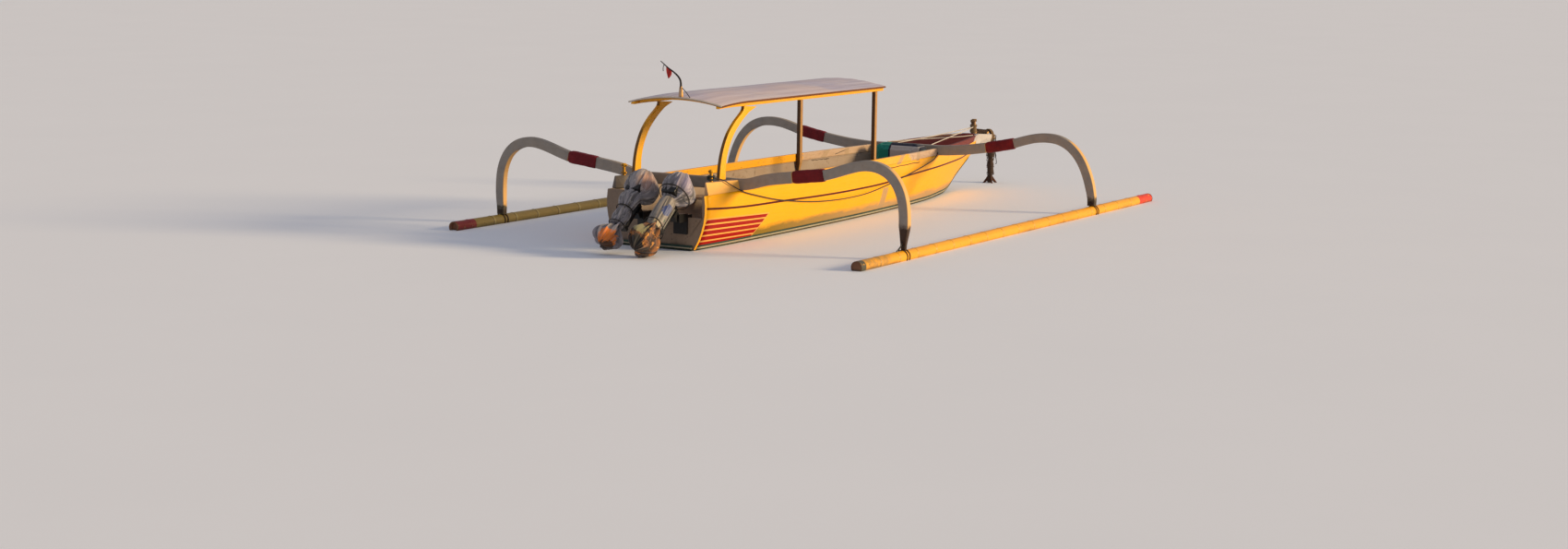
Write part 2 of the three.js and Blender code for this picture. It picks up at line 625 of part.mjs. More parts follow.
function quarterTopZ(x) {
  const foreX = ARM_SETS[0].x - ARM.width / 2 - GAP;
  const t = (x - QUARTER.aftX) / (foreX - QUARTER.aftX);
  return QUARTER.aftTopZ + (QUARTER.foreTopZ - QUARTER.aftTopZ) * t;
}

// Square post against the inside of the gunwale, its foot tapered
function forePost(side) {
  const { x, width, depth, footZ, taperZ } = FORE_POST;
  const top = ROOF_BEAM.bottomZ - GAP;
  const ring = (z, half, thickness) => {
    const outer = (at) => gunwaleInner(at) - GAP;
    return [
      [x - half, side * (outer(x - half) - thickness), z], [x + half, side * (outer(x + half) - thickness), z],
      [x + half, side * outer(x + half), z], [x - half, side * outer(x - half), z],
    ];
  };
  return loft([ring(footZ, width * 0.22, 14), ring(taperZ, width / 2, depth), ring(top, width / 2, depth)]);
}

const staffCurve = () => new THREE.CatmullRomCurve3(STAFF_PATH.map(([y, z]) => new THREE.Vector3(FLAG.x, y, z)));

// Small cloth hanging from the underside of the bent stick
function flag() {
  const curve = staffCurve();
  const reach = FLAG.staffRadius + GAP;
  const hem = FLAG_HEM.map((share) => {
    const [point, tangent] = [curve.getPointAt(share), curve.getTangentAt(share)];
    return [point.y + tangent.z * reach, point.z - tangent.y * reach];
  });
  return prism([...hem, ...FLAG_SAG], FLAG.x - FLAG.thickness / 2, FLAG.x + FLAG.thickness / 2, onYZ);
}

// Bent stick for the flag, standing in a small block on the roof
function flagStaff() {
  const curve = staffCurve();
  const section = new THREE.Shape().absarc(0, 0, FLAG.staffRadius, 0, 2 * Math.PI);
  const stick = new THREE.ExtrudeGeometry(section,
    { extrudePath: curve, steps: 14, curveSegments: 4, bevelEnabled: false });
  const block = box(FLAG.x - 16, FLAG.x + 16, FLAG.blockY - 20, FLAG.blockY + 20, FLAG.blockFootZ, FLAG.blockTopZ);
  return join(block, stick);
}

function sternPost() {
  return turned([[0, 0], [18, 0], [16, 88], [29, 96], [31, 112], [20, 124], [0, 126]], 12);
}

function sideRope() {
  const points = SIDE_ROPE_ROUTE.map(([x, z, out]) => (
    new THREE.Vector3(x, -(hullY(x, z) + SIDE_ROPE.radius + SIDE_ROPE.stand + out), z)));
  const curve = new THREE.CatmullRomCurve3(points, false, 'centripetal');
  const section = new THREE.Shape().absarc(0, 0, SIDE_ROPE.radius, 0, 2 * Math.PI);
  return new THREE.ExtrudeGeometry(section, { extrudePath: curve, steps: 78, curveSegments: 4, bevelEnabled: false });
}

// Clamp bracket hooked over the transom well, with two ears that carry the tilt pin
function clampBracket() {
  const aftFace = STERN_X - TRANSOM.thickness - GAP - MOTOR.pivotX;
  const foreFace = STERN_X - MOTOR.pivotX;
  const well = TRANSOM.wellZ + GAP - MOTOR.pivotZ;
  const { half, plate, earHalfInner, pinRadius, hookDepth, faceBottomZ } = CLAMP;
  const facePlate = box(aftFace - plate, aftFace, -half, half, faceBottomZ - MOTOR.pivotZ, well + plate);
  const bridge = box(aftFace - plate, foreFace + plate, -half, half, well, well + plate);
  const hook = box(foreFace, foreFace + plate, -half, half, well - hookDepth, well + plate);
  const ears = [-1, 1].map((s) => (
    box(-24, aftFace - 4, Math.min(s * earHalfInner, s * half), Math.max(s * earHalfInner, s * half), -60, 26)));
  const pin = rod([0, -half, 0], [0, half, 0], pinRadius, 16);
  return join(facePlate, bridge, hook, ...ears, pin);
}

// Swivel bracket: a neck on the tilt pin and the tube that the motor steers in
function swivelBracket() {
  const { tube, top, bottom, neckHalf, neckBottom, foreX, bore } = SWIVEL;
  const steeringTube = rod([MOTOR.steerX, 0, bottom], [MOTOR.steerX, 0, top], tube, 20);
  const neck = box(MOTOR.steerX, foreX, -neckHalf, neckHalf, neckBottom, top - 3);
  return cut(join(steeringTube, neck), rod([0, -neckHalf - 5, 0], [0, neckHalf + 5, 0], bore, 16));
}

// Motor leg with its two yokes above and below the steering tube
function motorLeg() {
  const { aftX, foreX, half, bottomZ, topZ, lugGap, lugThick } = LEG;
  const rings = [[bottomZ, 0.8], [bottomZ + 90, 0.72], [-200, 0.85], [0, 1], [topZ, 1]].map(([z, scale]) => (
    oblongRing(z, (aftX + foreX) / 2, ((foreX - aftX) / 2) * (scale < 1 ? scale + 0.12 : 1), half * scale, 12)));
  const yoke = (z0, z1) => box(foreX - 50, MOTOR.steerX + 32, -34, 34, z0, z1);
  const upper = yoke(SWIVEL.top + lugGap, SWIVEL.top + lugGap + lugThick);
  const lower = yoke(SWIVEL.bottom - lugGap - lugThick, SWIVEL.bottom - lugGap);
  return join(loft(rings), upper, lower);
}

function motorCover() {
  const blob = loft(COVER_RINGS.map(([z, cx, hl, hw]) => oblongRing(z, cx, hl, hw, 20, 2 / 2.1)));
  const { aftX, foreX, half, topZ } = POWERHEAD;
  const pocket = box(aftX - 7, foreX + 7, -half - 7, half + 7, 40, topZ + GAP);
  return cut(blob, pocket);
}

// Hull
addMesh('underbody', underbody(), 'underbody');
addMesh('transom', transom(), 'grey');
addMesh('floorboards', floorboards(), 'interior');
THWART_XS.forEach((x, i) => {
  const board = seatBoard(x - THWART.width / 2, x + THWART.width / 2, THWART.topZ, THWART.thickness);
  addMesh(`thwart_${i + 1}`, board, 'interior');
});
addMesh('bow_seat', seatBoard(BOW_SEAT.aftX, BOW_SEAT.foreX, BOW_SEAT.topZ, BOW_SEAT.thickness), 'interior');
addMesh('bow_cushion', softBlock(BOW_CUSHION.aftX, BOW_CUSHION.foreX, BOW_CUSHION.starboardY, BOW_CUSHION.portY,
  BOW_SEAT.topZ + GAP, BOW_CUSHION.topZ, BOW_CUSHION.edge), 'teal');
addMesh('foredeck', foredeck(), 'maroon');
addMesh('bow_bulkhead', bulkhead(), 'interior');
for (const [name, side] of SIDES) {
  const half = ARM.width / 2 + GAP;
  addMesh(`topside_${name}`, topside(side), 'yellow');
  addMesh(`gunwale_${name}`, gunwale(side, ARM_SETS[0].x + half, ARM_SETS[1].x - half), 'yellow');
  addMesh(`bow_rail_${name}`, gunwale(side, ARM_SETS[1].x + half, BOW_X), 'white');
  addMesh(`quarter_block_${name}`, quarterBlock(side), 'white');
}

// Bow fittings
addMesh('beak', beak(), 'white');
const postFootZ = beakTopZ(BOW_POST.x - BOW_POST.radius) + GAP;
const postHeight = BOW_POST.topZ - postFootZ;
addMesh('bow_post', turned([
  [0, 0], [BOW_POST.radius, 0], [BOW_POST.radius * 0.85, postHeight * 0.8], [BOW_POST.radius, postHeight * 0.9],
  [BOW_POST.radius * 0.6, postHeight], [0, postHeight],
], 12).translate(BOW_POST.x, 0, postFootZ), 'rope');
addMesh('bow_spar', rod([BOW_SPAR.aftX, 0, beakTopZ(BOW_SPAR.aftX) + BOW_SPAR.radius + GAP],
  [BOW_SPAR.foreX, 0, beakTopZ(BOW_SPAR.foreX) + BOW_SPAR.radius + GAP], BOW_SPAR.radius, 12), 'grey');
addMesh('anchor_lashing', softBlock(BEAK.foreX + GAP, BEAK.foreX + GAP + LASHING.length, -LASHING.half, LASHING.half,
  LASHING.bottomZ, LASHING.topZ, 18), 'rag');
addMesh('anchor', anchor(), 'rust');

// Crossbeams, arms and floats
for (const set of ARM_SETS) {
  const inboard = set.beam.map(([y, z]) => [-y, z]).reverse();
  const armPath = smoothPath(set.arm, 26);
  const middle = set.sleeve[1];
  const belowFoot = [armPath[armPath.length - 2][0], 0];
  addMesh(`crossbeam_${set.name}`, sweepAcross([...inboard, ...set.beam], set.x,
    { width: ARM.width, depth: BEAM_DEPTH, chamfer: 14 }, { before: [-middle[0], middle[1]], after: middle }), 'grey');
  for (const [name, side] of SIDES) {
    const place = ([y, z]) => [side * y, z];
    addMesh(`sleeve_${set.name}_${name}`, sweepAcross(set.sleeve.map(place), set.x, SLEEVE,
      { before: place(set.beam[set.beam.length - 2]), after: place(armPath[1]), trim: GAP }), 'maroon');
    addMesh(`arm_${set.name}_${name}`, sweepAcross(armPath.map(place), set.x, ARM,
      { before: place(middle), after: place(belowFoot) }), 'grey');
  }
}
for (const [name, side] of SIDES) {
  addMesh(`float_${name}`, float(side, FLOAT_ROWS[name]), side > 0 ? 'bamboo' : 'bambooYellow');
}

// Roof and its posts
addMesh('roof_sheet', roofSheet(), 'white');
for (const [name, side] of SIDES) {
  addMesh(`roof_beam_${name}`, roofBeam(side), 'yellow');
  addMesh(`curved_post_${name}`, curvedPost(side), 'yellow');
  addMesh(`fore_post_${name}`, forePost(side), 'yellow');
}
addMesh('flag_staff', flagStaff(), 'black');
addMesh('flag', flag(), 'red');

// Stern posts and the rope along the starboard side
for (const [name, side] of SIDES) {
  const foot = quarterTopZ(STERN_POST.x - 18) + GAP;
  addMesh(`stern_post_${name}`, sternPost().translate(STERN_POST.x, side * STERN_POST.y, foot), 'yellow');
}
addMesh('side_rope', sideRope(), 'rope');

// Outboard motors
for (const [name, y, bagSize] of MOTOR_ROWS) {
  const bracket = new THREE.Group();
  bracket.position.set(MOTOR.pivotX, y, MOTOR.pivotZ);
  group.add(bracket);
  addMesh(`clamp_${name}`, clampBracket(), 'black', bracket);
  const tilted = new THREE.Group();
  tilted.position.copy(bracket.position);
  tilted.rotation.y = THREE.MathUtils.degToRad(MOTOR.tiltUpDeg);
  group.add(tilted);
  addMesh(`swivel_${name}`, swivelBracket(), 'black', tilted);
  addMesh(`leg_${name}`, motorLeg(), 'cover', tilted);
  const { aftX, foreX, half, bottomZ, topZ } = POWERHEAD;
  addMesh(`powerhead_${name}`, box(aftX, foreX, -half, half, bottomZ, topZ), 'black', tilted);
  addMesh(`motor_cover_${name}`, motorCover(), 'cover', tilted);
  const bagTop = BAG_RINGS[0][0];
  const bag = loft(BAG_RINGS.map(([z, cx, hl, hw]) => (
    oblongRing(bagTop + (z - bagTop) * bagSize, cx, hl * bagSize, hw, 16, 2 / 2.2))));
  addMesh(`propeller_bag_${name}`, bag, name === 'port' ? 'cover' : 'rag', tilted);
}

export default group;
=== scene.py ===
"""Finish, ropes, cloth and trim of a wooden outrigger canoe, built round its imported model.

Metres. +X forward, +Y to port, +Z up, with the origin on the waterline amidships.
"""

import math

import bpy
import numpy as np
from mathutils import Matrix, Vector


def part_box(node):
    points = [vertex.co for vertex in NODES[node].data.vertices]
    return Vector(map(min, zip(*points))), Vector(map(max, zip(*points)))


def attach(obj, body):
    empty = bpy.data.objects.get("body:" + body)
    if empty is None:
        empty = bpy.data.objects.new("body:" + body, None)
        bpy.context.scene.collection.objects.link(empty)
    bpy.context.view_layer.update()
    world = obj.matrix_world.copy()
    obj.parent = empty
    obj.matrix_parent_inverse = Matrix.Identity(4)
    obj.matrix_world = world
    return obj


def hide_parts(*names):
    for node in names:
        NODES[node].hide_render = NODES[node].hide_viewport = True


bl_info = {
    "name": "Outrigger canoe",
    "version": (1, 0, 0),
    "blender": (4, 5, 0),
    "location": "3D View > Sidebar > Canoe",
    "description": "Dresses the packed outrigger canoe with painted timber, bamboo, cloth and rope",
    "category": "Object",
}

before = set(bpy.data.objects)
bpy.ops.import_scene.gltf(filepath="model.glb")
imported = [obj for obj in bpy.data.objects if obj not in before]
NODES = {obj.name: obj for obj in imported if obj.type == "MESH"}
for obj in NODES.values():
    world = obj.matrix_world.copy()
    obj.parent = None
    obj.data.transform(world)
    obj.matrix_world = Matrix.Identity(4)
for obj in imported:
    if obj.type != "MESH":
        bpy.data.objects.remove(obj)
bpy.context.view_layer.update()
MM = 0.001
HULL = "hull"
SIDES = (("port", 1), ("starboard", -1))
MATERIALS = {}

# Hull lines in mm, as in the part's source
SHEER_Z, SHEER_Y, BULGE_Z, BULGE_Y, CHINE_Z, CHINE_Y = range(1, 7)
# Columns: station x, then those named above
HULL_STATIONS = np.array([
    [-3600, 655, 572, 480, 602, 10, 470],
    [-2900, 655, 586, 470, 612, -2, 482],
    [-2000, 655, 590, 462, 608, -10, 480],
    [-1000, 655, 583, 455, 594, -14, 466],
    [0, 655, 562, 450, 564, -12, 434],
    [900, 655, 525, 448, 515, -5, 376],
    [1860, 655, 462, 448, 440, 8, 278],
    [2400, 662, 400, 450, 358, 18, 180],
    [2900, 672, 322, 470, 262, 40, 62],
    [3200, 680, 258, 520, 196, 185, 32],
    [3450, 686, 196, 565, 142, 318, 31],
    [3640, 690, 148, 600, 108, 420, 31],
], float)
# Columns: station x, keel z
KEEL_LINE = np.array([
    [-3600, -85], [-2900, -120], [-2000, -138], [-1000, -145], [0, -145], [900, -138], [1860, -118],
    [2400, -82], [2700, -48], [2900, -6], [3200, 158], [3450, 292], [3640, 394],
], float)
# The bow starts to narrow at SHOULDER_X, and gets closer rings from there on
TRANSOM_X, SHOULDER_X, STEM_X = -3600, 2400, 3640
GUNWALE_DEPTH = 85
HULL_WALL = 32
STEM_HALF = 14
# Skins end this far short of the timber they meet
SKIN_GAP = 0.3
BILGE_POWER = 1.9

# Arms in mm, as in the part's source. Columns: distance from the centreline, z
BEAM_Z = 630.3
ARM_SETS = {
    "aft": {
        "x": -2920,
        "beam": [[600, BEAM_Z], [700, 645], [912, 700], [1218, 746]],
        "sleeve": [[1218, 746], [1400, 769], [1582, 790]],
        "arm": [
            [1582, 790], [1700, 824], [1850, 872], [1980, 906], [2090, 918], [2200, 905], [2305, 862],
            [2392, 788], [2452, 692], [2490, 580], [2506, 450], [2508, 300], [2502, 180], [2502, 97.3],
        ],
    },
    "fore": {
        "x": 1860,
        "beam": [[480, BEAM_Z], [700, 645], [900, 668], [1108, 700]],
        "sleeve": [[1108, 700], [1290, 734], [1472, 772]],
        "arm": [
            [1472, 772], [1600, 812], [1750, 848], [1900, 860], [2040, 844], [2168, 788], [2275, 696],
            [2357, 580], [2420, 440], [2462, 300], [2484, 180], [2484, 97.3],
        ],
    },
}
# Half sizes of their sections: along x, and square to that. Feet thin over FOOT_LENGTH
BEAM_HALF, ARM_HALF, SLEEVE_HALF = (38, 60), (38, 54), (47, 67)
SLEEVE_CORNER = 27
FOOT_LENGTH = 240
FLOAT_Y, FLOAT_Z, FLOAT_RADIUS = 2500, 35, 62
# Bamboo's nodes stand 400 mm apart
NODE_STEP = 400
# Columns: side, direction from the centreline, aft end, fore end, one node's place
FLOATS = [
    ("port", 1, -3780, 3600, -2735),
    ("starboard", -1, -3900, 3600, -2700),
]

# Rope is laid from this many strands, and they turn once every ROPE_LAY diameters
ROPE_STRANDS, ROPE_LAY = 3, 3.2

# Motors in mm: x and z of the tilt axis, how far they are tilted up, and the y that each hangs at
MOTOR_PIVOT = (-3780, 360)
MOTOR_TILT = math.radians(50)
MOTOR_ROWS = {"port": 118, "starboard": -322}


def linear(hex_colour):
    """sRGB hex colour to linear RGBA."""
    parts = [int(hex_colour.lstrip("#")[k:k + 2], 16) / 255 for k in (0, 2, 4)]
    return [c / 12.92 if c <= 0.04045 else ((c + 0.055) / 1.055) ** 2.4 for c in parts] + [1.0]


def colour_setting(label, meaning, default):
    """A colour property, which Blender shows with its gamma."""
    return bpy.props.FloatVectorProperty(
        name=label, description=meaning, subtype="COLOR", size=3, min=0, max=1, default=linear(default)[:3])


def length_setting(label, meaning, default, low, high):
    """A length property in metres, between its least and its most."""
    return bpy.props.FloatProperty(
        name=label, description=meaning, default=default, min=low, max=high, unit="LENGTH")


class HullSettings(bpy.types.PropertyGroup):
    """Sizes and colours of the hull."""

    topside: colour_setting("Topside paint", "Main colour of the hull side", "#fcb102")
    stripe: colour_setting("Stripe paint", "Colour of the five stripes", "#a20600")
    inside: colour_setting("Inner paint", "Colour of the inside of the hull", "#aa9a8c")
    stations: bpy.props.IntProperty(
        name="Hull stations", description="Rings along the hull's skin", default=110, min=30, max=400)
    strip_proud: length_setting("Chine strip", "How far the chine strips stand out", 0.008, 0.002, 0.012)


class ArmSettings(bpy.types.PropertyGroup):
    """Sizes and colours of arms and floats."""

    paint: colour_setting("Arm paint", "Colour of crossbeams and arms", "#978e84")
    sleeve: colour_setting("Sleeve paint", "Colour of the bound joints", "#6e0c16")
    corner: length_setting("Corner radius", "Rounding of the arms' edges", 0.012, 0.002, 0.02)
    bamboo: colour_setting("Bare bamboo", "Colour of the port float", "#8a7434")
    painted_bamboo: colour_setting("Painted bamboo", "Colour of the starboard float", "#f9ae10")


class ClothSettings(bpy.types.PropertyGroup):
    """Sizes and colours of cloth and rope."""

    cover: colour_setting("Motor cover", "Colour of the motor covers", "#8a858a")
    rag: colour_setting("Rag", "Colour of the cloth round the starboard leg", "#9c5e20")
    fold_depth: length_setting("Fold depth", "Depth of the gathers at a tie", 0.013, 0.0, 0.03)
    side_rope: length_setting("Side rope", "Diameter of the rope along the side", 0.012, 0.008, 0.014)
    swell: length_setting("Cushion swell", "Most that the cushion may swell", 0.014, 0.0, 0.03)


# Geometry

def table_at(rows, x, column):
    """Cubic through a table's rows, with each slope taken across the row's two neighbours."""
    xs, ys = rows[:, 0], rows[:, column]
    k = np.arange(len(xs))
    before, after = np.maximum(k - 1, 0), np.minimum(k + 1, len(xs) - 1)
    slopes = (ys[after] - ys[before]) / (xs[after] - xs[before])
    b = np.clip(np.searchsorted(xs, x), 1, len(xs) - 1)
    a = b - 1
    span = xs[b] - xs[a]
    t = (x - xs[a]) / span
    return ((2 * t**3 - 3 * t**2 + 1) * ys[a] + (t**3 - 2 * t**2 + t) * slopes[a] * span
            + (3 * t**2 - 2 * t**3) * ys[b] + (t**3 - t**2) * slopes[b] * span)


def hull_y(x, z):
    """Half-beam in mm: the parabola in z through the chine, the bulge and the sheer of station x."""
    z0, z1, z2 = (table_at(HULL_STATIONS, x, column) for column in (CHINE_Z, BULGE_Z, SHEER_Z))
    b0, b1, b2 = (table_at(HULL_STATIONS, x, column) for column in (CHINE_Y, BULGE_Y, SHEER_Y))
    return (b0 * (z - z1) * (z - z2) / ((z0 - z1) * (z0 - z2))
            + b1 * (z - z0) * (z - z2) / ((z1 - z0) * (z1 - z2))
            + b2 * (z - z0) * (z - z1) / ((z2 - z0) * (z2 - z1)))


def arc_length(path):
    """Distance along a path at each of its points: the sum of the steps so far."""
    return np.concatenate([[0], np.cumsum(np.linalg.norm(np.diff(path, axis=0), axis=1))])


def smooth_path(points, count):
    """count points at equal steps on a cubic through the given ones, by chord length."""
    given = np.array(points, float)
    rows = np.column_stack([arc_length(given), given])
    fine = np.linspace(0, rows[-1, 0], count * 8)
    dense = np.column_stack([table_at(rows, fine, column) for column in range(1, rows.shape[1])])
    arc = arc_length(dense)
    at = np.linspace(0, arc[-1], count)
    return np.column_stack([np.interp(at, arc, line) for line in dense.T])


def circle(count):
    """count angles at equal steps round one full turn."""
    return np.linspace(0, 2 * np.pi, count, endpoint=False)


def grid(x, y, z, unit=MM):
    """Points P[i, j] in metres from three arrays that spread over the grid, which are in mm as a rule."""
    return np.stack(np.broadcast_arrays(x, y, z), -1) * unit


def wall(outer, inner):
    """Section rings of a thin wall: across its outer face, and back across its inner face."""
    return np.concatenate([outer, inner[:, ::-1]], axis=1)


def surface(name, points, material, body=HULL, close_v=True, caps="fan", uv=None, attributes=None,
            replaces=(), slot=None):
    """Grid of points P[i, j] in metres: a quad between each four neighbours, turned to face outwards.

    caps: fan joins an end ring to its centre, strip joins it across, as on a thin wall, none leaves it.
    uv: distances along i and along j in metres, the second one longer than the grid where it closes.
    """
    n, m = points.shape[:2]
    i, j = np.indices((n - 1, m if close_v else m - 1)).reshape(2, -1, 1)
    corner_i, corner_j = i + [0, 1, 1, 0], j + [0, 0, 1, 1]
    along, around = (np.arange(n), np.arange(m + 1)) if uv is None else uv
    flat = points.reshape(-1, 3)
    faces = [corner_i * m + corner_j % m]
    corner_uvs = [np.stack([along[corner_i], around[corner_j]], -1)]
    ring = np.arange(m)
    if caps == "fan":
        flat = np.vstack([flat, points[0].mean(0), points[-1].mean(0)])
        for hub, end, first, second in ((n * m, 0, 0, 1), (n * m + 1, n - 1, 1, 0)):
            faces.append(np.column_stack([
                np.full(m, hub), end * m + (ring + first) % m, end * m + (ring + second) % m]))
            across = np.repeat(around[:m, None], 3, axis=1)
            corner_uvs.append(np.stack([np.full_like(across, along[end]), across], -1))
    elif caps == "strip":
        k = ring[:m // 2 - 1]
        for base, order in ((0, 1), ((n - 1) * m, -1)):
            strip = base + np.column_stack([k, k + 1, m - 2 - k, m - 1 - k])
            faces.append(strip[:, ::order])
            corner_uvs.append(np.zeros((*strip.shape, 2)))
    if enclosed(flat, faces[0]) < 0:
        faces, corner_uvs = ([turned(part) for part in parts] for parts in (faces, corner_uvs))
    sizes = np.concatenate([np.full(len(part), part.shape[1]) for part in faces])
    loops = np.concatenate([part.ravel() for part in faces]).astype(np.int32)
    mesh = bpy.data.meshes.new(name)
    mesh.vertices.add(len(flat))
    mesh.vertices.foreach_set("co", flat.astype(np.float32).ravel())
    mesh.loops.add(len(loops))
    mesh.loops.foreach_set("vertex_index", loops)
    mesh.polygons.add(len(sizes))
    mesh.polygons.foreach_set("loop_start", (np.cumsum(sizes) - sizes).astype(np.int32))
    mesh.update(calc_edges=True)
    uv_rows = np.concatenate([part.reshape(-1, 2) for part in corner_uvs]).astype(np.float32)
    mesh.uv_layers.new(name="UVMap").data.foreach_set("uv", uv_rows.ravel())
    mesh.polygons.foreach_set("use_smooth", np.ones(len(sizes), bool))
    for key, values in (attributes or {}).items():
        # A fan's hub takes its ring's mean
        full = np.append(values.ravel(), [values[0].mean(), values[-1].mean()])[:len(flat)]
        mesh.attributes.new(key, "FLOAT", "POINT").data.foreach_set("value", full.astype(np.float32))
    mesh.materials.append(MATERIALS[material])
    piece = bpy.data.objects.new(name, mesh)
    bpy.context.scene.collection.objects.link(piece)
    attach(piece, body)
    if replaces:
        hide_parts(*replaces)
    return piece


def enclosed(points, quads):
    """Six times the volume inside the quads, by the triple product of each half."""
    a, b, c, d = np.moveaxis(points[quads] - points.mean(0), 1, 0)
    return (a * (np.cross(b, c) + np.cross(c, d))).sum()


def turned(corners):
    """Each face's corners the other way round, from the same first one."""
    return np.concatenate([corners[:, :1], corners[:, :0:-1]], axis=1)


def frames_along(path, up):
    """Two unit directions square to a path at each point: to its side, and as near to up as can be."""
    tangent = np.gradient(path, axis=0)
    tangent /= np.linalg.norm(tangent, axis=1, keepdims=True)
    side = np.cross(tangent, np.broadcast_to(np.asarray(up, float), tangent.shape))
    side /= np.maximum(np.linalg.norm(side, axis=1, keepdims=True), 1e-9)
    return side, np.cross(side, tangent)


def tube(path, up, angle, across, lifted=None):
    """Points round a path: across times the angle's cosine to its side, lifted times its sine upwards."""
    side, lift = frames_along(path, up)
    lifted = across if lifted is None else lifted
    return (path[:, None] + (across * np.cos(angle))[..., None] * side[:, None]
            + (lifted * np.sin(angle))[..., None] * lift[:, None])


def rope(name, path, diameter, material, up=(0, 0, 1), sides=12, **more):
    """Laid rope: a tube whose radius dips between the strands, which turn once every few diameters."""
    along = arc_length(path)
    angle = circle(sides)
    turn = ROPE_STRANDS * angle - 2 * np.pi * along[:, None] / (ROPE_LAY * diameter)
    radius = diameter / 2 * (0.86 + 0.14 * np.abs(np.cos(turn / 2)))
    around = np.linspace(0, np.pi * diameter, sides + 1)
    return surface(name, tube(path, up, angle, radius), material, uv=(along, around), **more)


def rod(name, path, foot, tip, material, up=(1, 0, 0), **more):
    """Round rod along a path: its radius goes evenly from foot to tip."""
    radius = np.linspace(foot, tip, len(path))[:, None]
    return surface(name, tube(path, up, circle(14), radius), material, **more)


def winding(centre, axis, radius, rise, turns, wobble=0.0, waves=0, squash=1.0, phase=0.0):
    """Helix about an axis: angle and height grow together, and the radius waves by wobble.

    squash narrows it along the second direction.
    """
    axis = np.asarray(axis, float) / np.linalg.norm(axis)
    a = np.cross(axis, [0.0, 0.0, 1.0] if abs(axis[2]) < 0.9 else [1.0, 0.0, 0.0])
    a /= np.linalg.norm(a)
    b = np.cross(axis, a)
    share = np.linspace(0, 1, turns * 28)
    angle = 2 * np.pi * turns * share + phase
    radius = radius + wobble * np.sin(waves * share)
    return (np.asarray(centre, float) + np.outer((share - 0.5) * rise, axis)
            + np.outer(radius * np.cos(angle), a) + np.outer(radius * squash * np.sin(angle), b))


def rounded_ring(half_w, half_d, corner, per_corner=5):
    """Rectangle with round corners: (u, v) points, corner by corner."""
    angle = np.arange(4)[:, None] * np.pi / 2 + np.linspace(0, np.pi / 2, per_corner)
    sign_u, sign_v = np.array([[1, -1, -1, 1], [1, 1, -1, -1]])[..., None]
    u = sign_u * (half_w - corner) + corner * np.cos(angle)
    v = sign_v * (half_d - corner) + corner * np.sin(angle)
    return np.column_stack([u.ravel(), v.ravel()])


def oblong(angle, power=2 / 2.15):
    """Outline of a superellipse: cosine and sine of the angle raised to a power, with their signs kept."""
    return [np.sign(part) * np.abs(part) ** power for part in (np.cos(angle), np.sin(angle))]


def beam_along(name, path, x, half_w, half_d, corner, material, scale=1.0, **more):
    """Round-cornered section carried along a path in the plane of one pair of arms. Path: y, z in mm."""
    ring = rounded_ring(half_w, half_d, corner)
    tangent = np.gradient(path, axis=0)
    tangent /= np.linalg.norm(tangent, axis=1, keepdims=True)
    u, v = (ring[:, k] * np.broadcast_to(scale, len(path))[:, None] for k in range(2))
    points = grid(x + u, path[:, :1] - tangent[:, 1:] * v, path[:, 1:] + tangent[:, :1] * v)
    around = arc_length(np.vstack([ring, ring[:1]])) * MM
    return surface(name, points, material, uv=(arc_length(path) * MM, around), **more)


def paint_node(name, material, width=0.003, angle=28):
    """Paints a CAD node, welded for show and with its sharp edges rounded, by modifiers alone.

    width is that of the rounding in metres, and angle the least one in degrees that gets it.
    """
    node_object = NODES[name]
    node_object.modifiers.new("Weld", "WELD").merge_threshold = 0.00002
    bevel = node_object.modifiers.new("Bevel", "BEVEL")
    bevel.width = width
    bevel.segments = 2
    bevel.limit_method = "ANGLE"
    bevel.angle_limit = math.radians(angle)
    bevel.use_clamp_overlap = True
    node_object.data.materials.clear()
    node_object.data.materials.append(MATERIALS[material])


# Finishes

def feed(tree, made, sockets):
    """Sets a node's sockets, by name or order, each from a value, a hex colour or another node's output."""
    for key, value in sockets.items() if isinstance(sockets, dict) else enumerate(sockets):
        if isinstance(value, bpy.types.NodeSocket):
            tree.links.new(value, made.inputs[key])
        else:
            made.inputs[key].default_value = linear(value) if isinstance(value, str) else value


def add(tree, kind, sockets=(), out=0, **settings):
    """Adds one node with its settings and links, and gives one of its outputs."""
    made = tree.nodes.new("ShaderNode" + kind)
    for key, value in settings.items():
        setattr(made, key, value)
    feed(tree, made, sockets)
    return made.outputs[out] if made.outputs else None


def start_finish(name, **sockets):
    """An empty material with one shader: gives the material, its tree, the shader and Object coordinates."""
    material = bpy.data.materials.new(name)
    material.use_nodes = True
    tree = material.node_tree
    tree.nodes.clear()
    shader = add(tree, "BsdfPrincipled", {key.replace("_", " "): value for key, value in sockets.items()})
    add(tree, "OutputMaterial", {"Surface": shader})
    return material, tree, shader.node, add(tree, "TexCoord", out=3)


def patches(tree, coords, size_mm, low, high, detail=4.0, rough=0.6, stretch=(1, 1, 1)):
    """Cloudy pattern with patches size_mm across: 0 below low, 1 above high.

    stretch shortens the patches along an axis.
    """
    placed = add(tree, "Mapping", {"Vector": coords, "Scale": stretch})
    cloud = add(tree, "TexNoise", {
        "Vector": placed, "Scale": 1000 / size_mm, "Detail": detail, "Roughness": rough})
    return add(tree, "MapRange", [cloud, low, high])


def band(tree, value, low, high, soft=0.002):
    """1 where value lies between low and high, with edges soft wide."""
    rise = add(tree, "MapRange", [value, low - soft / 2, low + soft / 2])
    fall = add(tree, "MapRange", [value, high - soft / 2, high + soft / 2, 1.0, 0.0])
    return add(tree, "Math", [rise, fall], operation="MULTIPLY")


def every(tree, value, period, start=0.0):
    """Share of the way from one repeat of a pattern to the next: the fraction of (value + start) / period."""
    if start:
        value = add(tree, "Math", [value, start], operation="ADD")
    return add(tree, "Math", [add(tree, "Math", [value, period], operation="DIVIDE")], operation="FRACT")


def coats(tree, base, rows):
    """Lays coats over a base colour. Each row: where it lies, how much of the base it hides, its colour."""
    for where, share, colour in rows:
        cover = add(tree, "Math", [where, share], operation="MULTIPLY", use_clamp=True)
        base = add(tree, "Mix", {0: cover, 6: base, 7: colour}, 2, data_type="RGBA")
    return base


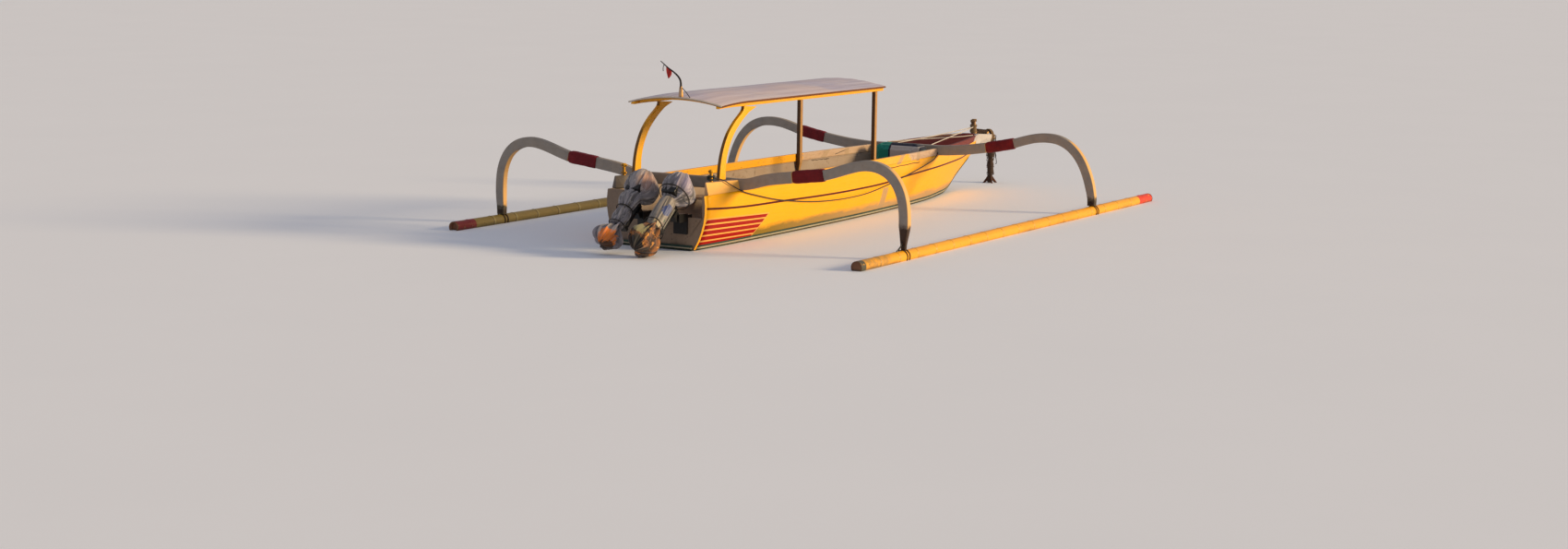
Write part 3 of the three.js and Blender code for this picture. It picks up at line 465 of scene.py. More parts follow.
def masked(tree, *masks):
    """Product of masks."""
    product = masks[0]
    for mask in masks[1:]:
        product = add(tree, "Math", [product, mask], operation="MULTIPLY")
    return product


def facing(tree, axis):
    """Part of the surface's own normal along one axis, before it is posed."""
    normal = add(tree, "TexCoord", out=1)
    return add(tree, "SeparateXYZ", [normal], out=axis)


def outboard(tree, y):
    """How far a surface faces away from the centreline: its normal's y times the sign of its own y."""
    side = add(tree, "Math", [y], operation="SIGN")
    return add(tree, "Math", [facing(tree, 1), side], operation="MULTIPLY")


def painted_timber(name, paint, worn, wear=0.35, stretch=(1, 13, 13), gloss=0.45, grime="#4b4238",
                   low_grime=None, painted_light=None, specular=0.4):
    """Oil paint brushed on timber: marks of the bristles along the grain, faded patches, chips and grime.

    The facing coat is an axis, a limit and a colour, laid as painted light on faces turned that way.
    low_grime is a height, a depth and a colour: below that height the paint is soiled or gone.
    """
    material, tree, shader, coords = start_finish(name, Specular_IOR_Level=specular)
    # Bristle marks about 8 mm wide and 110 mm long, drawn coarser than real so that they show
    brushed = patches(tree, coords, 110, 0.35, 0.7, stretch=stretch)
    faded = patches(tree, coords, 150, 0.42, 0.68, detail=6)
    # Chips of 5 to 15 mm
    chips = patches(tree, coords, 16, 0.66 - wear * 0.1, 0.70 - wear * 0.1, detail=5, rough=0.65)
    rows = [(brushed, 0.16, grime), (faded, 0.4, worn), (chips, wear, grime)]
    # Painted light: faces turned along the axis past the limit take a darker colour as painted shade, or a
    # lighter one as a painted highlight
    if painted_light is not None:
        axis, limit, colour = painted_light
        rows.append((add(tree, "MapRange", [facing(tree, axis), limit, limit * 1.3]), 0.9, colour))
    if low_grime is not None:
        height, depth, colour = low_grime
        z = add(tree, "SeparateXYZ", [coords], out=2)
        uneven = patches(tree, coords, 70, 0.3, 0.7, detail=5)
        level = add(tree, "Math", [uneven, -0.07, z], operation="MULTIPLY_ADD")
        rows.append((add(tree, "MapRange", [level, height, height - depth]), 1.0, colour))
    relief = add(tree, "Math", [brushed, chips], operation="SUBTRACT")
    feed(tree, shader, {
        "Base Color": coats(tree, paint, rows),
        "Roughness": add(tree, "MapRange", [brushed, 0.0, 1.0, gloss - 0.08, gloss + 0.18]),
        "Normal": add(tree, "Bump", {"Height": relief, "Distance": 0.0012, "Strength": 0.45}),
    })
    return material


# Thin line on the hull side. Columns: x, z in metres
PIN_LINE = [
    (-3.6, 0.440), (-3.0, 0.404), (-2.06, 0.384), (-1.02, 0.362), (-0.35, 0.358), (0.38, 0.366),
    (0.83, 0.390), (1.78, 0.421), (2.84, 0.442), (3.6, 0.452),
]
# The curve that draws the line runs over x from -PIN_SPAN to PIN_SPAN
PIN_SPAN = 3.7
# Bare filler strips. Columns: x at the foot, lean along x for each metre up, lowest z, highest z, half width
FILLER_STRIPS = [
    (0.425, -0.03, 0.035, 0.305, 0.075),
    (0.690, 1.35, 0.555, 0.648, 0.060),
    (1.245, 0.1, 0.555, 0.648, 0.045),
]


def leaning_strip(tree, x, z, foot, slope, low, half):
    """1 on a strip that passes foot at the height low and leans by slope: a band of x less slope times z."""
    across = add(tree, "Math", [z, -slope, x], operation="MULTIPLY_ADD")
    middle = foot - slope * low
    return band(tree, across, middle - half, middle + half, 0.012)


def above_line(tree, x, z, rows):
    """Height above a line drawn through rows of x and z: z less a curve of x."""
    share = add(tree, "MapRange", [x, -PIN_SPAN, PIN_SPAN])
    line = add(tree, "FloatCurve", {"Value": share})
    dots = line.node.mapping.curves[0].points
    places = [((along + PIN_SPAN) / (2 * PIN_SPAN), up) for along, up in rows]
    dots[0].location, dots[1].location = places[0], places[-1]
    for place in places[1:-1]:
        dots.new(*place)
    line.node.mapping.update()
    return add(tree, "Math", [z, line], operation="SUBTRACT")


def hull_paint(settings):
    """Gloss enamel on planks: yellow, a thin dark line, five red stripes, mended strips and a weedy foot.

    Inside the hull the same sheet shows flat grey-buff paint, with the planks' seams.
    """
    material, tree, shader, coords = start_finish(
        "Enamelled hull planks", Specular_IOR_Level=0.18, Coat_Weight=0.02)
    x, y, z = (add(tree, "SeparateXYZ", [coords], out=k) for k in range(3))
    # Brush strokes about 15 mm wide and 250 mm long
    brushed = patches(tree, coords, 250, 0.35, 0.7, stretch=(1, 16, 16))
    faded = patches(tree, coords, 600, 0.4, 0.7, detail=7)
    dents = patches(tree, coords, 420, 0.3, 0.7, detail=2)
    chalky = masked(
        tree, band(tree, z, 0.48, 0.70, 0.06), band(tree, x, 0.3, 3.2, 0.8),
        patches(tree, coords, 240, 0.25, 0.7, detail=6))
    # Seam that opened 100 mm under the gunwale, forward
    wander = add(tree, "Math", [patches(tree, coords, 330, 0.0, 1.0), 0.03, z], operation="MULTIPLY_ADD")
    seam = masked(
        tree, band(tree, wander, 0.542, 0.553, 0.003), band(tree, x, 0.40, 1.30, 0.04),
        patches(tree, coords, 60, 0.36, 0.42, stretch=(0.5, 1, 1)))
    # Scratches and splashes of dirt, 3 to 8 mm high
    specks = patches(tree, coords, 26, 0.66, 0.72, detail=8, rough=0.7, stretch=(0.35, 1, 1))
    # The thin line is 22 mm wide
    line = band(tree, above_line(tree, x, z, PIN_LINE), -0.012, 0.010, 0.003)
    rows = [
        (brushed, 0.20, "#e8940a"), (faded, 0.30, "#f7b62c"), (chalky, 0.25, "#efbe70"),
        (line, 1.0, "#520e06"),
    ]
    for foot, slope, low, high, half in FILLER_STRIPS:
        strip = leaning_strip(tree, x, z, foot, slope, low, half)
        rows.append((masked(tree, strip, band(tree, z, low, high, 0.01)), 0.85, "#ae9270"))
    # Dirt and weed at the waterline: a ragged olive-tan band, greener aft
    drift = patches(tree, coords, 170, 0.25, 0.75, detail=7, stretch=(0.6, 1, 2))
    level = add(tree, "Math", [drift, -0.06, z], operation="MULTIPLY_ADD")
    dirt = add(tree, "MapRange", [level, 0.135, 0.075])
    aft = add(tree, "MapRange", [x, 0.5, -2.3])
    tint = add(tree, "Mix", {0: aft, 6: "#ae9270", 7: "#77682a"}, 2, data_type="RGBA")
    rows += [(dirt, 0.9, tint), (seam, 0.9, "#42200f")]
    # The stripes' field leans forward as it rises: rise is 0 at its foot and 1 at its top
    foot = add(tree, "MapRange", [x, -3.6, -2.49, 0.046, 0.032])
    top = add(tree, "MapRange", [x, -3.6, -2.26, 0.322, 0.270])
    height = add(tree, "Math", [top, foot], operation="SUBTRACT")
    rise = add(tree, "Math", [add(tree, "Math", [z, foot], operation="SUBTRACT"), height], operation="DIVIDE")
    lean = add(tree, "Math", [rise, -0.25, x], operation="MULTIPLY_ADD")
    field = masked(tree, band(tree, rise, -0.05, 1.05, 0.02), band(tree, lean, -3.9, -2.60, 0.006))
    # Five stripes about 40 mm wide and 15 mm apart
    step = add(tree, "Math", [add(tree, "Math", [rise, 4.66], operation="MULTIPLY")], operation="FRACT")
    stripes = masked(
        tree, band(tree, step, 0.0, 0.72, 0.04), band(tree, rise, 0.0, 1.0, 0.01),
        band(tree, lean, -3.825, -2.615, 0.004))
    rows += [(field, 0.8, "#f4b35c"), (stripes, 1.0, (*settings.stripe, 1)), (specks, 0.55, "#7c4e18")]
    outside = coats(tree, (*settings.topside, 1), rows)
    # Inside: plank seams every 110 mm and stains, and scratches in the port wall, high up and forward
    jagged = add(tree, "Math", [patches(tree, coords, 60, 0.2, 0.8), 0.03, z], operation="MULTIPLY_ADD")
    scratch = masked(
        tree, band(tree, jagged, 0.562, 0.570, 0.002), band(tree, x, 0.47, 0.86, 0.02),
        add(tree, "Math", [y, 0.0], operation="GREATER_THAN"))
    inside = coats(tree, (*settings.inside, 1), [
        (patches(tree, coords, 330, 0.3, 0.75, detail=7), 0.8, "#9a8068"),
        (band(tree, every(tree, z, 0.11), 0.0, 0.05, 0.03), 0.4, "#5d4a3c"),
        (patches(tree, coords, 60, 0.6, 0.7, detail=7), 0.5, "#5c4636"),
        (scratch, 0.95, "#241812"),
    ])
    inner = add(tree, "Math", [outboard(tree, y), -0.2], operation="LESS_THAN")
    matt = add(tree, "Math", [dirt, inner], operation="MAXIMUM")
    swell = add(tree, "Math", [dents, 4.0, brushed], operation="MULTIPLY_ADD")
    marks = add(tree, "Math", [seam, specks], operation="ADD")
    relief = add(tree, "Math", [swell, marks], operation="SUBTRACT")
    feed(tree, shader, {
        "Base Color": coats(tree, outside, [(inner, 1.0, inside)]),
        "Roughness": add(tree, "Math", [matt, 0.33, 0.40], operation="MULTIPLY_ADD"),
        "Normal": add(tree, "Bump", {"Height": relief, "Distance": 0.0015, "Strength": 0.5}),
    })
    return material


def plank_paint(settings, bare_from):
    """Gloss enamel on the gunwale plank: yellow aft, bare of it and chalky white forward of bare_from."""
    material, tree, shader, coords = start_finish("Enamelled gunwale plank", Coat_Weight=0.1)
    x, y, z = (add(tree, "SeparateXYZ", [coords], out=k) for k in range(3))
    brushed = patches(tree, coords, 200, 0.35, 0.7, stretch=(1, 14, 14))
    faded = patches(tree, coords, 300, 0.42, 0.7, detail=7)
    chips = patches(tree, coords, 20, 0.60, 0.66, detail=6, rough=0.65, stretch=(0.5, 1, 1))
    ragged = patches(tree, coords, 90, 0.2, 0.8, detail=6)
    torn = add(tree, "Math", [ragged, 0.25, x], operation="MULTIPLY_ADD")
    inner = add(tree, "Math", [outboard(tree, y), -0.3], operation="LESS_THAN")
    # The inner face lost its yellow further aft than the outer one
    start = add(tree, "Math", [inner, -0.75, bare_from], operation="MULTIPLY_ADD")
    bare = add(tree, "Math", [torn, start], operation="GREATER_THAN")
    # A crack that climbs forward inside the port plank
    level = add(tree, "Math", [x, -0.15, z], operation="MULTIPLY_ADD")
    jagged = add(tree, "Math", [patches(tree, coords, 60, 0.2, 0.8), 0.012], operation="MULTIPLY")
    climb = add(tree, "Math", [level, jagged], operation="ADD")
    crack = masked(
        tree, band(tree, climb, 0.446, 0.454, 0.002), band(tree, x, 0.98, 1.28, 0.01), inner,
        add(tree, "Math", [y, 0.0], operation="GREATER_THAN"))
    rows = [
        (brushed, 0.2, "#e0900e"), (faded, 0.35, "#f3bb4e"), (bare, 0.9, "#b59a84"),
        (masked(tree, bare, brushed), 0.4, "#dcc3ae"), (chips, 0.6, "#6a4a2a"), (crack, 0.95, "#241812"),
    ]
    for foot, slope, low, _, half in FILLER_STRIPS[1:]:
        rows.append((leaning_strip(tree, x, z, foot, slope, low, half), 0.7, "#b09474"))
    relief = add(tree, "Math", [brushed, chips], operation="SUBTRACT")
    feed(tree, shader, {
        "Base Color": coats(tree, (*settings.topside, 1), rows),
        "Roughness": add(tree, "Math", [bare, 0.25, 0.42], operation="MULTIPLY_ADD"),
        "Normal": add(tree, "Bump", {"Height": relief, "Distance": 0.0015, "Strength": 0.5}),
    })
    return material


def rail_paint():
    """Deck rail: chalky white at its fore end, the deck's maroon on top and outboard, bare tan inboard."""
    material, tree, shader, coords = start_finish("Worn deck rail paint", Roughness=0.7)
    x, y = (add(tree, "SeparateXYZ", [coords], out=k) for k in range(2))
    brushed = patches(tree, coords, 110, 0.35, 0.7, stretch=(1, 13, 13))
    chips = patches(tree, coords, 16, 0.62, 0.67, detail=5, rough=0.65)
    upward = add(tree, "Math", [facing(tree, 2), outboard(tree, y)], operation="MAXIMUM")
    painted = add(tree, "Math", [upward, 0.3], operation="GREATER_THAN")
    ragged = patches(tree, coords, 90, 0.2, 0.8, detail=6)
    torn = add(tree, "Math", [ragged, 0.2, x], operation="MULTIPLY_ADD")
    white = add(tree, "MapRange", [torn, 3.52, 3.56])
    relief = add(tree, "Math", [brushed, chips], operation="SUBTRACT")
    feed(tree, shader, {
        "Base Color": coats(tree, "#9c8062", [
            (painted, 1.0, "#6e1a16"), (white, 1.0, "#c4bcb6"), (brushed, 0.3, "#5c4438"),
            (chips, 0.5, "#a08a70")]),
        "Normal": add(tree, "Bump", {"Height": relief, "Distance": 0.0012, "Strength": 0.45}),
    })
    return material


def bottom_paint():
    """Dark bottom paint, matt, with weed and lime near the waterline."""
    material, tree, shader, coords = start_finish("Bottom paint with weed", Roughness=0.85)
    z = add(tree, "SeparateXYZ", [coords], out=2)
    weed = patches(tree, coords, 45, 0.4, 0.62, detail=8)
    near = add(tree, "MapRange", [z, -0.10, 0.0])
    lime = patches(tree, coords, 14, 0.62, 0.68)
    feed(tree, shader, {
        "Base Color": coats(tree, "#14191a", [
            (masked(tree, weed, near), 1.0, "#2e3a22"), (lime, 0.7, "#6d6f66")]),
        "Normal": add(tree, "Bump", {"Height": weed, "Distance": 0.002, "Strength": 0.6}),
    })
    return material


def bamboo(name, colour, dark, bands, node_at, gloss, scars, worn_end=None):
    """Bamboo culm: glossy skin, fine fibres along it, dark scars at its nodes, painted bands at its ends.

    bands: from x, to x, colour. worn_end is the same for an end where the paint has mostly gone.
    scars is how much the scars show.
    """
    material, tree, shader, coords = start_finish(name)
    x, z = (add(tree, "SeparateXYZ", [coords], out=k) for k in (0, 2))
    # Fibres 2 to 3 mm wide, coarser than real so that they show
    fibres = patches(tree, coords, 90, 0.35, 0.7, detail=6, stretch=(0.6, 30, 30))
    clouds = patches(tree, coords, 330, 0.38, 0.7, detail=6, stretch=(0.7, 2, 2))
    rows = [(fibres, 0.3, dark), (clouds, 0.4, dark)]
    if worn_end is not None:
        start, stop, tint = worn_end
        gone = masked(tree, band(tree, x, start, stop, 0.1), patches(tree, coords, 50, 0.3, 0.6, detail=6))
        rows.append((gone, 0.75, tint))
    # A dark scar halfway through each repeat, with a pale ring beside it
    cycle = every(tree, x, NODE_STEP * MM, 4.2 - node_at * MM)
    rows += [
        (band(tree, cycle, 0.475, 0.525, 0.02), scars, "#4c3a1c"),
        (band(tree, cycle, 0.53, 0.57, 0.02), scars * 0.8, "#b8a868"),
    ]
    # Specks of dirt of 10 to 20 mm
    rows.append((patches(tree, coords, 30, 0.66, 0.69, detail=6), 0.8, "#2a2010"))
    for low, high, tint in bands:
        rubbed = patches(tree, coords, 42, 0.6, 0.66, stretch=(0.4, 1, 1))
        kept = add(tree, "MapRange", [rubbed, 0.0, 1.0, 1.0, 0.4])
        rows.append((masked(tree, band(tree, x, low, high, 0.008), kept), 1.0, tint))
    sawn = add(tree, "Math", [facing(tree, 0), -0.7], operation="LESS_THAN")
    # Wet and weedy where it meets the water
    level = add(tree, "Math", [clouds, -0.03, z], operation="MULTIPLY_ADD")
    wet = add(tree, "MapRange", [level, 0.012, -0.02])
    rows += [(sawn, 0.9, "#7c4c2a"), (wet, 0.7, "#3c3a1c")]
    feed(tree, shader, {
        "Base Color": coats(tree, colour, rows),
        "Roughness": add(tree, "Math", [fibres, 0.15, gloss], operation="MULTIPLY_ADD"),
        "Normal": add(tree, "Bump", {"Height": fibres, "Distance": 0.0006, "Strength": 0.4}),
    })
    return material


def woven_cloth(name, colour, light, dark, rough=0.9, stains=(), spots_and_painted_light=(), fade=0.006, painted_fold_highlight=0.0):
    """Plain-weave cotton with a little sheen: painted highlights on its folds' crests, painted shade in their
    valleys.

    Threads are drawn 4 mm apart, coarser than real so that they show. Stain columns: size in mm, low, high,
    colour; on the rag they are painted shade and painted highlights. Spot columns: centre, radius in metres,
    colour; some are painted highlights and painted shade. Their edges are twice fade wide.
    The crease setting is how much painted highlight lines show, 4 to 8 mm wide, that run along the form.
    """
    material, tree, shader, coords = start_finish(
        name, Roughness=rough, Sheen_Weight=0.2, Sheen_Roughness=0.6)
    crest = add(tree, "Attribute", attribute_name="crest", out=2)
    # Painted highlights where the folds' crest is high, painted shade in their valleys
    rows = [
        (add(tree, "MapRange", [crest, 0.62, 0.92]), 0.75, light),
        (add(tree, "MapRange", [crest, 0.40, 0.05]), 0.8, dark),
        (patches(tree, coords, 110, 0.4, 0.7, detail=7), 0.4, dark),
    ]
    for size, low, high, tint in stains:
        rows.append((patches(tree, coords, size, low, high, detail=5), 0.9, tint))
    for centre, radius, tint in spots_and_painted_light:
        away = add(tree, "VectorMath", [coords, centre], out=1, operation="DISTANCE")
        uneven = patches(tree, coords, 90, 0.3, 0.7, detail=6)
        ragged = add(tree, "Math", [uneven, 0.09, away], operation="MULTIPLY_ADD")
        rows.append((add(tree, "MapRange", [ragged, radius + fade, radius - fade]), 0.92, tint))
    uv = add(tree, "TexCoord", out=2)
    if painted_fold_highlight:
        # Painted highlight lines along the folds
        drawn = patches(tree, uv, 170, 0.25, 0.75, detail=3, stretch=(0.25, 1, 1))
        for middle in (0.36, 0.50, 0.64):
            rows.append((band(tree, drawn, middle - 0.012, middle + 0.012, 0.016), painted_fold_highlight, light))
    threads = []
    for k in range(2):
        distance = add(tree, "SeparateXYZ", [uv], out=k)
        turn = add(tree, "Math", [distance, 1000 * math.pi / 4], operation="MULTIPLY")
        threads.append(add(tree, "Math", [turn], operation="SINE"))
    feed(tree, shader, {
        "Base Color": coats(tree, colour, rows),
        "Normal": add(tree, "Bump", {"Height": masked(tree, *threads), "Distance": 0.0006, "Strength": 0.35}),
    })
    return material


def laid_rope(name, colour, dark):
    """Laid fibre rope: matt and hairy, with darker hairs and broad dirty patches."""
    material, tree, shader, coords = start_finish(name, Roughness=0.92, Sheen_Weight=0.15)
    hairs = patches(tree, coords, 6, 0.35, 0.65, detail=3)
    dirt = patches(tree, coords, 120, 0.4, 0.7, detail=6)
    feed(tree, shader, {
        "Base Color": coats(tree, colour, [(hairs, 0.5, dark), (dirt, 0.5, dark)]),
        "Normal": add(tree, "Bump", {"Height": hairs, "Distance": 0.0008, "Strength": 0.5}),
    })
    return material


def rusty_iron():
    """Forged iron under rust: rough, orange-brown with black pits."""
    material, tree, shader, coords = start_finish("Rusted forged iron", Roughness=0.85, Metallic=0.2)
    scale = patches(tree, coords, 22, 0.4, 0.62, detail=8)
    pits = patches(tree, coords, 11, 0.6, 0.68)
    feed(tree, shader, {
        "Base Color": coats(tree, "#3c2014", [(scale, 0.9, "#6e3a1a"), (pits, 0.9, "#120d0b")]),
        "Normal": add(tree, "Bump", {"Height": scale, "Distance": 0.002, "Strength": 0.7}),
    })
    return material


def motor_enamel():
    """Black stove enamel on cast aluminium: half gloss, with grey salt stains."""
    material, tree, shader, coords = start_finish("Black stove enamel")
    salt = patches(tree, coords, 33, 0.6, 0.72, detail=7)
    feed(tree, shader, {
        "Base Color": coats(tree, "#08080a", [(salt, 0.14, "#4b4844")]),
        "Roughness": add(tree, "Math", [salt, 0.3, 0.4], operation="MULTIPLY_ADD"),
        "Normal": add(tree, "Bump", {"Height": salt, "Distance": 0.0004, "Strength": 0.3}),
    })
    return material


def roof_skin():
    """Weathered vinyl sheet on plywood: lilac-white, streaked along it by rain and dust, brown edges."""
    material, tree, shader, coords = start_finish("Weathered vinyl sheet", Specular_IOR_Level=0.25)
    x = add(tree, "SeparateXYZ", [coords], out=0)
    streaks = patches(tree, coords, 500, 0.4, 0.7, detail=6, stretch=(0.5, 9, 1))
    clouds = patches(tree, coords, 900, 0.35, 0.65, detail=5, stretch=(1, 2, 1))
    warm = patches(tree, coords, 1400, 0.45, 0.6)
    under = add(tree, "Math", [facing(tree, 2), -0.2], operation="LESS_THAN")
    sideways = add(tree, "Math", [facing(tree, 1)], operation="ABSOLUTE")
    edges = add(tree, "Math", [sideways, 0.6], operation="GREATER_THAN")
    seams = [band(tree, x, at - 0.003, at + 0.003, 0.002) for at in (-2.28, -1.06)]
    feed(tree, shader, {
        "Base Color": coats(tree, "#d0c8ce", [
            (clouds, 0.85, "#b9b4cc"), (streaks, 0.55, "#96899a"), (warm, 0.4, "#e4c8ba"),
            *[(seam, 0.4, "#6d5d58") for seam in seams],
            (band(tree, x, -3.30, -3.262, 0.004), 0.8, "#e2cfb4"),
            (under, 1.0, "#9c8670"), (edges, 1.0, "#6e4020")]),
        "Roughness": add(tree, "Math", [streaks, 0.2, 0.55], operation="MULTIPLY_ADD"),
        "Normal": add(tree, "Bump", {"Height": streaks, "Distance": 0.0015, "Strength": 0.35}),
    })
    return material


# Bow cushion in metres: y and z of its binding's and its pale panel's edges
BINDING_Y, BINDING_Z = (-0.362, 0.072), (0.30, 0.80)
PANEL_Y, PANEL_Z = (-0.338, 0.046), (0.515, 0.680)


def cushion_cloth():
    """Coarse canvas cushion cover: matt, with teal ends, navy binding and a pale panel in the middle."""
    material, tree, shader, coords = start_finish(
        "Two-tone cushion canvas", Roughness=0.88, Sheen_Weight=0.15)
    y, z = (add(tree, "SeparateXYZ", [coords], out=k) for k in (1, 2))
    weave = patches(tree, coords, 7, 0.35, 0.65, detail=2)
    rim = masked(tree, band(tree, y, *BINDING_Y, 0.004), band(tree, z, *BINDING_Z, 0.004))
    panel = masked(tree, band(tree, y, *PANEL_Y, 0.004), band(tree, z, *PANEL_Z, 0.004))
    feed(tree, shader, {
        "Base Color": coats(tree, "#048a78", [
            (weave, 0.3, "#04584e"), (rim, 1.0, "#141c34"), (panel, 1.0, "#c2bab4"),
            (masked(tree, panel, weave), 0.3, "#9c948e")]),
        "Normal": add(tree, "Bump", {"Height": weave, "Distance": 0.0006, "Strength": 0.4}),
    })
    return material


def plank_floor():
    """Bare, walked-on hardwood boards 120 mm wide, along the hull: dry, grey-brown, dark in their joints."""
    material, tree, shader, coords = start_finish("Worn floor boards", Roughness=0.75)
    y = add(tree, "SeparateXYZ", [coords], out=1)
    grain = patches(tree, coords, 120, 0.35, 0.7, detail=6, stretch=(1, 18, 4))
    joint = band(tree, every(tree, y, 0.12, 1.2), 0.0, 0.05, 0.02)
    relief = add(tree, "Math", [grain, joint], operation="SUBTRACT")
    feed(tree, shader, {
        "Base Color": coats(tree, "#94806a", [(grain, 0.8, "#665340"), (joint, 1.0, "#211a14")]),
        "Normal": add(tree, "Bump", {"Height": relief, "Distance": 0.003, "Strength": 0.6}),
    })
    return material


def transom_paint(settings):
    """Flat grey-brown paint on the stern board: side edges in the hull's yellow, wet and dark at its foot."""
    material, tree, shader, coords = start_finish("Grey-brown stern paint", Roughness=0.7)
    z = add(tree, "SeparateXYZ", [coords], out=2)
    smears = patches(tree, coords, 160, 0.35, 0.7, detail=7, stretch=(1, 1, 0.5))
    chips = patches(tree, coords, 24, 0.6, 0.68, detail=6)
    sideways = add(tree, "Math", [facing(tree, 1)], operation="ABSOLUTE")
    edge = add(tree, "Math", [sideways, 0.55], operation="GREATER_THAN")
    level = add(tree, "Math", [smears, -0.05, z], operation="MULTIPLY_ADD")
    wet = add(tree, "MapRange", [level, 0.06, -0.02])
    feed(tree, shader, {
        "Base Color": coats(tree, "#927c68", [
            (smears, 0.6, "#6c5a4a"), (chips, 0.6, "#3a2e24"), (wet, 0.8, "#2c281e"),
            (edge, 1.0, (*settings.topside, 1))]),
        "Normal": add(tree, "Bump", {"Height": smears, "Distance": 0.0015, "Strength": 0.4}),
    })
    return material


